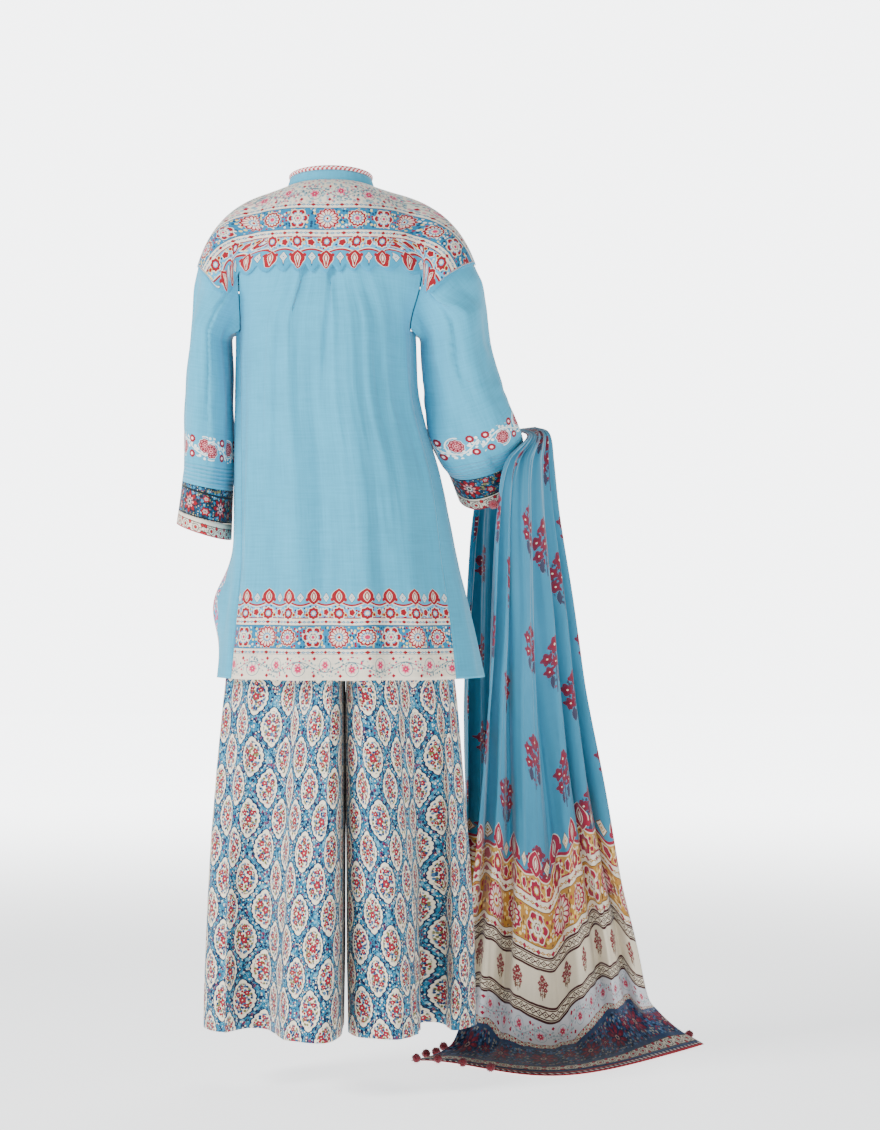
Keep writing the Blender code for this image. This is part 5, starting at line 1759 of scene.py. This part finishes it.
class EdgeLine:
    """A run of points that tells how far along it and how far off it a place lies."""

    def __init__(self, points: Sequence[Vector]) -> None:
        """Measure the run from its middle point."""
        self.points = list(points)
        self.reaches = [0.0]
        for here, there in zip(points, points[1:]):
            self.reaches.append(self.reaches[-1] + (there - here).length)
        self.middle = self.reaches[len(self.reaches) // 2]

    def measure(self, place: Vector) -> tuple[float, float]:
        """Return the way along the line, from its middle, and the distance off it."""
        nearest = min(range(len(self.points)), key=lambda index: (self.points[index] - place).length_squared)
        best = (0.0, float("inf"))
        for index in range(max(nearest - 1, 0), min(nearest + 1, len(self.points) - 1)):
            start = self.points[index]
            step = self.points[index + 1] - start
            share = min(max((place - start).dot(step) / step.length_squared, 0.0), 1.0)
            off = (place - start - step * share).length
            if off < best[1]:
                best = (mix(self.reaches[index], self.reaches[index + 1], share) - self.middle, off)
        return best


@dataclass
class Kameez:
    """The kameez: collar, back yoke, back and front panels and two gores."""

    form: KameezForm
    overlay: float = 0.0021
    piping_radius: float = 0.0032
    seam_gap: float = 0.0003
    piping_gap: float = 0.0009
    slit_width: float = 0.0010
    front_width: float = 0.28
    panel_width: float = 0.30
    gore_width: float = 0.08
    scallops: int = 13
    scallop_depth: float = 0.0075
    scalloped_turn: float = 64.0
    shoulder_length: float = 0.14
    yoke_end: float = 96.5
    front_end: float = 95.4
    slit_level: float = 1.09
    crease_depth: float = 0.0130
    crease_wide: float = 0.075
    crease_long: float = 1.1
    fine_wide: float = 0.030
    fine_long: float = 0.5
    ripple_wide: float = 0.025
    ripple_long: float = 0.05
    fan: float = 0.72
    rise: float = 1.15
    dip: float = 0.36
    first_pleat: tuple[float, float, float] = (0.345, 0.11, 0.0062)
    second_pleat: tuple[float, float, float] = (0.52, 0.14, 0.0072)
    pleat_slant: float = 0.035
    pleat_top: float = 0.670
    pleat_end: float = 0.40
    band_turn: float = 83.0
    edge_turn: float = 66.0
    swing: float = 0.024
    swing_z: float = -0.645
    swing_high: float = 0.055

    def __post_init__(self) -> None:
        """Keep a point inside the body."""
        self.inside = Vector((0.0, 0.0, -0.4))

    def build(self) -> list[bpy.types.Object]:
        """Return all the kameez's pieces but the sleeves."""
        plain = KameezCotton().build()
        return [
            *self.build_collar(plain),
            self.build_yoke(),
            self.build_back(),
            self.build_front(),
            *self.build_gores(plain),
        ]

    def build_collar(self, plain: bpy.types.Material) -> list[bpy.types.Object]:
        """Return the standing collar band and the striped piping on its top edge."""
        form = self.form
        opening = math.degrees(self.slit_width / form.neck_half_depth)
        turns = spread(150, -180.0 + opening, 180.0 - opening)
        rises = spread(6, form.collar_height, -0.0005)
        band = ClothSheet("collar_band_cloth", turns, rises, form.neck_point, form.neck_middle)

        def around(turn: float, angle: float) -> Vector:
            """Return a point of the piping's skin, which closes at its two ends."""
            from_end = math.radians(180.0 - opening - abs(turn)) * form.neck_half_depth
            radius = self.piping_radius * math.sqrt(ease(0.04 + from_end / 0.004))
            seat = form.collar_height + self.piping_radius + self.piping_gap
            middle = form.neck_point(turn, seat)
            away = middle - form.neck_middle
            away.z = 0.0
            away.normalize()
            return middle + away * (radius * math.cos(angle)) + Vector((0.0, 0.0, radius * math.sin(angle)))

        circle = spread(14, 0.0, 2.0 * math.pi)
        piping = ClothSheet("collar_piping_cord", spread(300, turns[0], turns[-1]), circle, around,
                            form.neck_middle, wall=0.0008)
        return [
            band.dress(plain, ["collar_band"]),
            piping.dress(PipingStripes().build(), ["collar_piping"]),
        ]

    def build_yoke(self) -> bpy.types.Object:
        """Return the printed back yoke with its scalloped lower edge."""
        form = self.form
        reach = self.scalloped_turn
        side = spread(20, reach, self.yoke_end)[1:]
        turns = [*[-turn for turn in reversed(side)], *spread(12 * self.scallops, -reach, reach), *side]

        def place(turn: float, out: float) -> Vector:
            """Return a point of the yoke, with the scallops let in near its edge."""
            if abs(turn) < reach:
                wave = abs(math.sin(math.pi * self.scallops * (turn + reach) / (2.0 * reach)))
                out += self.scallop_depth * wave / self.shoulder_length * max((out - 0.90) / 0.10, 0.0)
            return form.shoulder_point(turn, out)

        lower = spread(264, -self.edge_turn, self.edge_turn)
        edge = EdgeLine([form.shoulder_point(turn, 1.0) for turn in lower])
        keys = (0.0, 45.0, 60.0, 70.0, 78.0, self.band_turn)
        outs = (0.45, 0.47, 0.55, 0.72, 0.88, 1.0)
        turned = spread(166, -self.band_turn, self.band_turn)
        along = EdgeLine([form.shoulder_point(turn, through(keys, outs, abs(turn))) for turn in turned])

        def chart(turn: float, out: float, point: Vector) -> tuple[float, float]:
            """Return the place along the bands, and the way in from the edge."""
            near_along, off = edge.measure(point)
            near = ease((self.edge_turn - abs(turn)) / 8.0) * (1.0 - ease((off - 0.012) / 0.040))
            return mix(along.measure(point)[0], near_along, near), off * (1.0 if out < 1.0 else -1.0)

        yoke = ClothSheet("back_yoke_cloth", turns, spread(40, 0.003, 1.0), place,
                          Vector((0.0, 0.0, -0.15)), chart=chart, moved_out=self.overlay)
        return yoke.dress(YokePrint().build(), ["back_yoke"])

    def creases(self, across: float, x: float, y: float, seed: float) -> float:
        """Return the height of a panel's soft hanging creases, wider and deeper towards the hem."""
        fall = ease((0.70 - y) / 0.25)
        fanned = x / mix(1.0, self.fan, ease(y / 0.66))
        share = crease(fanned / self.crease_wide, y / self.crease_long, seed)
        fine = crease(fanned / self.fine_wide, y / self.fine_long, seed + 3.0)
        share += 0.22 * fine * ease((y - 0.05) / 0.3)
        share += 0.08 * crease(x / self.ripple_wide, y / self.ripple_long, seed + 5.0)
        height = max(share, 0.0) * self.rise + min(share, 0.0) * self.dip
        return self.crease_depth * height * fall * clear_of_seams(across)

    def swung(self, point: Vector) -> Vector:
        """Return a point of the left front, which swings out beside the wearer's left hand."""
        aside = ease((-0.10 - point.x) / 0.06) * ease((point.y + 0.045) / 0.06)
        high = math.exp(-((point.z - self.swing_z) / self.swing_high) ** 2)
        return point + Vector((-self.swing * aside * high, 0.0, 0.0))

    def build_back(self) -> bpy.types.Object:
        """Return the back, with its soft pleats under the yoke."""
        form = self.form
        corners = (-form.armhole_back, form.armhole_back)
        edge = 0.5 * self.seam_gap / self.panel_width

        def place(share: float, level: float) -> Vector:
            """Return a point of the back: below nought it is tucked under the yoke."""
            if level < 0.0:
                return form.shoulder_point(mix(*corners, share) * 0.99, 1.0 + level)
            seams = ("seam_back_left", "seam_back_right")
            return form.panel_point(corners, seams, BACK_FOLDS, share, level)

        def relief(across: float, down: float, x: float, y: float) -> float:
            """Return the height of the back's pleats and creases."""
            below = ease((self.pleat_top - y) / 0.015)
            fade = ease((y - self.pleat_end) / 0.22) * below
            pleats = 0.0
            pressed = ((self.first_pleat, 0.0), (self.second_pleat, self.pleat_slant))
            for (middle, wide, deep), slant in pressed:
                line = middle - slant * ease((0.66 - y) / 0.22)
                pleats += pleat(across, line, wide, deep * fade)
            return pleats + self.creases(across, x, y, 1.7) * below

        levels = [*spread(4, -0.08, -0.001), *spread(180, 0.0, 2.0)]
        back = ClothSheet("back_panel_cloth", spread(136, edge, 1.0 - edge), levels, place, self.inside,
                          relief)
        return back.dress(HemPrint().build(), ["back_panel"])

    def build_front(self) -> bpy.types.Object:
        """Return the front in one piece up to the shoulder seams, with its slit below the collar."""
        form = self.form
        wide = form.armhole_front
        far = 360.0 - wide
        edge = 0.5 * self.seam_gap / self.panel_width
        slit = self.slit_width / (0.5 * self.front_width)
        lower = [*spread(62, edge, 0.5 - slit), *spread(62, 0.5 + slit, 1.0 - edge)]
        right = spread(12, self.front_end, wide)[:-1]
        turns = [*right, *[mix(wide, far, share) for share in lower],
                 *[360.0 - turn for turn in reversed(right)]]
        outs = spread(24, 0.0085, 1.0)[:-1]
        rows = [*[("shoulder", out) for out in outs], *[("panel", level) for level in spread(160, 0.0, 2.0)]]

        def place(turn: float, row: tuple[str, float]) -> Vector:
            """Return a point of the shoulder part or of the panel below it."""
            part, value = row
            share = (turn - wide) / (far - wide)
            if part == "shoulder":
                return form.shoulder_point(turn, value)
            if not 0.0 <= share <= 1.0:
                return form.shoulder_point(turn, 1.0)
            seams = ("seam_front_right", "seam_front_left")
            return self.swung(form.panel_point((wide, far), seams, FRONT_FOLDS, share, value))

        def skipped(column: int, row: int) -> bool:
            """Return whether a cell lies beside the panel or in its slit."""
            middle = 0.5 * (turns[column] + turns[column + 1])
            if row >= len(outs) and not wide < middle < far:
                return True
            part, value = rows[row]
            return abs(middle - 180.0) < 0.1 and (part == "shoulder" or value < self.slit_level)

        def relief(across: float, down: float, x: float, y: float) -> float:
            """Return the height of the front's creases."""
            return self.creases(across, x, y, 9.1)

        front = ClothSheet("front_panel_cloth", turns, rows, place, self.inside, relief, skipped=skipped)
        return front.dress(FrontStitching().build(), ["front_panel"])

    def build_gores(self, plain: bpy.types.Material) -> list[bpy.types.Object]:
        """Return the two side gores, from under the arm to the hem."""
        form = self.form
        edge = 0.5 * self.seam_gap / self.gore_width
        seams = {Side.RIGHT: ("seam_back_right", "seam_front_right"),
                 Side.LEFT: ("seam_front_left", "seam_back_left")}
        gores = []
        for side, pair in seams.items():
            def place(share: float, level: float, pair: tuple[str, str] = pair) -> Vector:
                """Return a point of the gore."""
                return self.swung(form.panel_point(None, pair, (), share, level))

            def relief(across: float, down: float, x: float, y: float,
                       seed: float = 20.0 + side.value) -> float:
                """Return the height of the gore's creases."""
                return 0.6 * self.creases(across, x, y, seed)

            gore = ClothSheet(f"side_gore_{side.label}_cloth", spread(30, edge, 1.0 - edge),
                              spread(130, 1.003, 2.0), place, self.inside, relief)
            look = plain if side is Side.RIGHT else GoreStitching().build()
            gores.append(gore.dress(look, [f"side_gore_{side.label}"]))
        return gores


@dataclass
class Sleeve:
    """One sleeve with its printed cuff panel and the narrow border below it."""

    form: SleeveForm
    cuff_start: float = 0.86
    border_start: float = 0.955
    gap: float = 0.0008
    crease_depth: float = 0.0080
    elbow_depth: float = 0.0
    elbow: float = 0.56
    elbow_reach: float = 0.13
    fold_step: float = 0.0080

    def build(self, cotton: bpy.types.Material, cuff: bpy.types.Material,
              border: bpy.types.Material) -> list[bpy.types.Object]:
        """Return the three pieces, dressed in the cotton, the cuff's print and the border's."""
        form = self.form
        label = form.side.label
        seed = 31.0 + 5.0 * form.side.value

        def relief(across: float, down: float, x: float, y: float) -> float:
            """Return the height of the sleeve's creases, which lie slanting round the arm."""
            whole = ease(down / 0.12) * ease((1.0 - down) / 0.08)
            slanted = y + 0.5 * x
            fine = crease(x / 0.022, slanted / 0.07, seed + 2.0)
            share = crease(x / 0.050, slanted / 0.19, seed) + 0.25 * fine
            bend = math.exp(-((down - self.elbow) / self.elbow_reach) ** 2)
            drift = 3.0 * crease(x / 0.07, y / 0.07, seed + 1.0)
            folds = math.sin(slanted / self.fold_step + drift) * crease(x / 0.05, y / 0.04, seed + 6.0)
            return whole * (self.crease_depth * share + self.elbow_depth * bend * folds)

        def level(share: float) -> Vector:
            """Return the middle of the sleeve at a place down it."""
            return (form.section_point(0.0, share) + form.section_point(180.0, share)) * 0.5

        columns = form.columns
        sleeve = ClothSheet(f"sleeve_{label}_cloth", columns, spread(130, 0.0, self.cuff_start - self.gap),
                            form.point, level(0.5), relief)
        panel_rows = spread(14, self.cuff_start + self.gap, self.border_start - self.gap)
        panel = ClothSheet(f"cuff_panel_{label}_cloth", columns, panel_rows, form.point, level(0.93))
        edge = ClothSheet(f"cuff_border_{label}_cloth", columns, spread(6, self.border_start + self.gap, 1.0),
                          form.point, level(0.93))
        return [
            sleeve.dress(cotton, [f"sleeve_{label}"]),
            panel.dress(cuff, [f"cuff_panel_{label}"]),
            edge.dress(border, [f"cuff_border_{label}"]),
        ]


@dataclass
class Trousers:
    """The two wide printed legs and their waistband."""

    columns: int = 160
    rows: int = 150
    waist_top: float = -0.385
    seam_gap: float = 0.0003
    crease_depth: float = 0.0110
    inner_lift: float = 0.0014
    inner_share: float = 0.13
    lift_from: float = 0.38

    def build(self) -> list[bpy.types.Object]:
        """Return the legs and the waistband."""
        look = TrouserPrint().build()
        legs = [self.build_leg(TrouserForm(side), look) for side in Side]
        return [*legs, self.build_waistband(look)]

    def build_leg(self, form: TrouserForm, look: bpy.types.Material) -> bpy.types.Object:
        """Return one leg, creased only inwards so that it stays clear of the kameez and the other leg."""
        heights = spread(self.rows, form.top_z, form.hem_z)
        outlines = {z: form.outline(z, self.columns) for z in heights}
        label = form.side.label
        seed = 50.0 + 3.0 * form.side.value

        def place(column: int, z: float) -> Vector:
            """Return a point of the leg."""
            return outlines[z][column]

        def relief(across: float, down: float, x: float, y: float) -> float:
            """Return the height of the leg's long creases, with short ones round the knee."""
            share = crease(x / mix(0.05, 0.075, down), y / 0.65, seed)
            share += 0.30 * crease(x / 0.03, y / 0.16, seed + 4.0)
            inner = 1.0 - ease((min(across, 1.0 - across) - self.inner_share) / 0.08)
            lift = self.inner_lift * inner * ease((1.0 - down) / 0.15) * ease((down - self.lift_from) / 0.08)
            return lift - self.crease_depth * (0.6 + 0.8 * share) * (1.0 - inner) * ease(down / 0.1)

        inside = Vector((form.split_x + form.side.value * 0.09, 0.0, -0.9))
        columns = range(self.columns + 1)
        leg = ClothSheet(f"trouser_leg_{label}_cloth", columns, heights, place, inside, relief)
        return leg.dress(look, [f"trouser_leg_{label}"])

    def build_waistband(self, look: bpy.types.Material) -> bpy.types.Object:
        """Return the waistband."""
        top = TROUSER_SECTIONS[0]

        def place(turn: float, z: float) -> Vector:
            """Return a point of the band."""
            reach = top.back_y if math.cos(turn) > 0.0 else -top.front_y
            return Vector((top.middle_x + top.half_width * math.sin(turn), reach * math.cos(turn), z))

        heights = spread(6, self.waist_top, top.z + self.seam_gap)
        middle = Vector((top.middle_x, 0.0, top.z))
        band = ClothSheet("waistband_cloth", spread(160, 0.0, 2.0 * math.pi), heights, place, middle)
        return band.dress(look, ["waistband"])


@dataclass
class Dupatta:
    """The long cloth over the forearm: its two falls, each with a printed rope edge."""

    near: FallForm = field(default_factory=lambda: FallForm(NEAR_FALL, 5.0))
    far: FallForm = field(default_factory=lambda: FallForm(FAR_FALL, 3.5))
    middle: Vector = field(default_factory=lambda: Vector((0.30, 0.20, -0.9)))
    far_scale: float = 1.3
    crease_depth: float = 0.0050

    def build(self) -> list[bpy.types.Object]:
        """Return the four pieces."""
        cloth = DupattaPrint().build()
        trim = RopeTrim().build()
        pieces = []
        falls = (
            ("near", self.near, 150, 236, (0.9846, 0.9854)),
            ("far", self.far, 84, 170, (0.98785, 0.98815)),
        )
        for label, form, columns, rows, (end, start) in falls:
            across = spread(columns)
            parts = (
                (f"dupatta_{label}_fall", spread(rows, 0.0, end), cloth, "dupatta_cloth"),
                (f"dupatta_{label}_trim", spread(5, start, 1.0), trim, "striped_trim"),
            )
            for node, down, look, slot in parts:
                relief = self.relief_of(down, 70.0 if form is self.near else 80.0)
                sheet = ClothSheet(f"{node}_cloth", across, down, form.point, self.middle, relief,
                                   wall=0.0010)
                sheet.chart_scale = 1.0 if form is self.near else self.far_scale
                pieces.append(sheet.dress(look, [node]))
        return pieces

    def relief_of(self, down: Sequence[float], seed: float) -> Callable[[float, float, float, float], float]:
        """Return the crease heights of a stretch, which run on from one stretch to the next."""
        def relief(across: float, share: float, x: float, y: float) -> float:
            """Return the height at a place of the stretch."""
            at = mix(down[0], down[-1], share)
            gathered = 1.0 - 0.45 * ease(at / 0.5)
            fine = crease(across * 32.0, at * 7.0, seed + 1.0)
            height = crease(across * 15.0, at * 3.0, seed) + 0.5 * fine * gathered
            return self.crease_depth * height * ease((1.0 - at) / 0.12) * ease((at + 0.01) / 0.05)

        return relief


@dataclass
class Pompoms:
    """The clipped wool balls on the dupatta's ends and edges, where the solid ones are."""

    radius: float = 0.0083
    count: int = 13
    tuft: float = 0.0021

    def build(self) -> list[bpy.types.Object]:
        """Return the balls."""
        wool = WoolPile().build()
        balls = []
        for number in range(1, self.count + 1):
            node = f"pompom_{number:02d}"
            low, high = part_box(node)
            balls.append(self.build_ball(node, (Vector(low) + Vector(high)) * 0.5, number, wool))
        return balls

    def build_ball(self, node: str, middle: Vector, number: int,
                   wool: bpy.types.Material) -> bpy.types.Object:
        """Return one ball of clipped tufts."""
        ball = bmesh.new()
        bmesh.ops.create_icosphere(ball, subdivisions=5, radius=1.0)
        for vertex in ball.verts:
            away = vertex.co.normalized()
            near = noise.voronoi(away * (self.radius / self.tuft) + Vector((0.0, 0.0, 3.7 * number)))[0][0]
            lumps = 0.05 * noise.noise(away * 1.7 + Vector((number, 0.0, 0.0)))
            vertex.co = middle + away * (self.radius * (1.06 + lumps - 0.26 * ease(near / 0.55)))
        mesh = bpy.data.meshes.new(node + "_wool")
        ball.to_mesh(mesh)
        ball.free()
        mesh.shade_smooth()
        piece = bpy.data.objects.new(node + "_wool", mesh)
        bpy.context.scene.collection.objects.link(piece)
        return dress_piece(piece, wool, [node])


@dataclass
class Studio:
    """A pale floor that fades into the backdrop, soft lights and a camera at the photo's place."""

    floor_z: float = -1.430
    floor_gap: float = 0.0006
    floor_size: float = 12.0
    fade_from: float = 1.5
    fade_to: float = 6.0
    sensor: float = 36.0
    aim: Vector = field(default_factory=lambda: Vector((0.1, 0.0, -0.7)))
    lens: float = 94.4
    surround: float = 0.10
    floor_glow: float = 1.8
    backdrop: float = 6.0
    camera_place: Vector = field(default_factory=lambda: Vector((0.173, -4.8, -0.583)))

    def build(self) -> None:
        """Set up the floor, the lights, the surroundings and the camera."""
        self.build_floor()
        lights = (
            ("key_light", Vector((-3.4, -2.6, 1.6)), 1.5, 285.0),
            ("fill_light", Vector((2.2, -4.0, 0.2)), 2.4, 40.0),
            ("back_light", Vector((0.6, 2.6, 2.2)), 2.2, 60.0),
        )
        for name, place, size, power in lights:
            self.build_light(name, place, size, power)
        world = bpy.data.worlds.new("studio")
        world.use_nodes = True
        tree = world.node_tree
        tree.nodes["Background"].inputs["Color"].default_value = linear("#F4F6F8")
        seen = add_node(tree, "LightPath", output="Is Camera Ray")
        bright = add_node(tree, "MapRange", seen, 0.0, 1.0, self.surround, self.backdrop)
        tree.links.new(bright, tree.nodes["Background"].inputs["Strength"])
        bpy.context.scene.world = world
        lens = bpy.data.cameras.new("camera")
        lens.sensor_fit = "VERTICAL"
        lens.sensor_height = self.sensor
        lens.lens = self.lens
        camera = bpy.data.objects.new("camera", lens)
        camera.location = self.camera_place
        camera.rotation_euler = (0.5 * math.pi, 0.0, 0.0)
        bpy.context.scene.collection.objects.link(camera)
        bpy.context.scene.camera = camera

    def build_floor(self) -> None:
        """Lay the floor, which glows with painted light that rises with distance until it matches the
        backdrop.
        """
        sheet = bmesh.new()
        bmesh.ops.create_grid(sheet, x_segments=1, y_segments=1, size=self.floor_size)
        mesh = bpy.data.meshes.new("studio_floor")
        sheet.to_mesh(mesh)
        sheet.free()
        floor = bpy.data.objects.new("studio_floor", mesh)
        floor.location = (0.0, 0.0, self.floor_z - self.floor_gap)
        bpy.context.scene.collection.objects.link(floor)
        paint = bpy.data.materials.new("glowing_white_floor")
        paint.use_nodes = True
        shader = paint.node_tree.nodes["Principled BSDF"]
        shader.inputs["Base Color"].default_value = linear("#F4F4F3")
        # Painted light: the floor glows in the backdrop's colour, weakly near the suit and more strongly
        # farther away.
        shader.inputs["Emission Color"].default_value = linear("#F4F6F8")
        tree = paint.node_tree
        away = add_node(tree, "VectorMath", add_node(tree, "TexCoord", output="Object"), operation="LENGTH",
                        output="Value")
        glow = add_node(tree, "MapRange", away, self.fade_from, self.fade_to, self.floor_glow, self.backdrop,
                        interpolation_type="SMOOTHSTEP")
        tree.links.new(glow, shader.inputs["Emission Strength"])
        shader.inputs["Roughness"].default_value = 0.8
        mesh.materials.append(paint)

    def build_light(self, name: str, place: Vector, size: float, power: float) -> None:
        """Hang one soft square light that faces the suit's middle."""
        lamp = bpy.data.lights.new(name, "AREA")
        lamp.shape = "SQUARE"
        lamp.size = size
        lamp.energy = power
        light = bpy.data.objects.new(name, lamp)
        light.location = place
        light.rotation_euler = (self.aim - place).to_track_quat("-Z", "Y").to_euler()
        bpy.context.scene.collection.objects.link(light)


def main() -> None:
    """Build the suit and its studio."""
    logging.basicConfig(level=logging.INFO, format="%(message)s")
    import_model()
    kameez_form = KameezForm()
    Kameez(kameez_form).build()
    stitched = SleeveStitching().build()
    cuff = CuffPrint().build()
    border = CuffBorder().build()
    for side, elbow_depth in ((Side.LEFT, 0.0), (Side.RIGHT, 0.0022)):
        Sleeve(SleeveForm(kameez_form, side), elbow_depth=elbow_depth).build(stitched, cuff, border)
    Trousers().build()
    Dupatta().build()
    Pompoms().build()
    Studio().build()


if __name__ == "__main__":
    main()
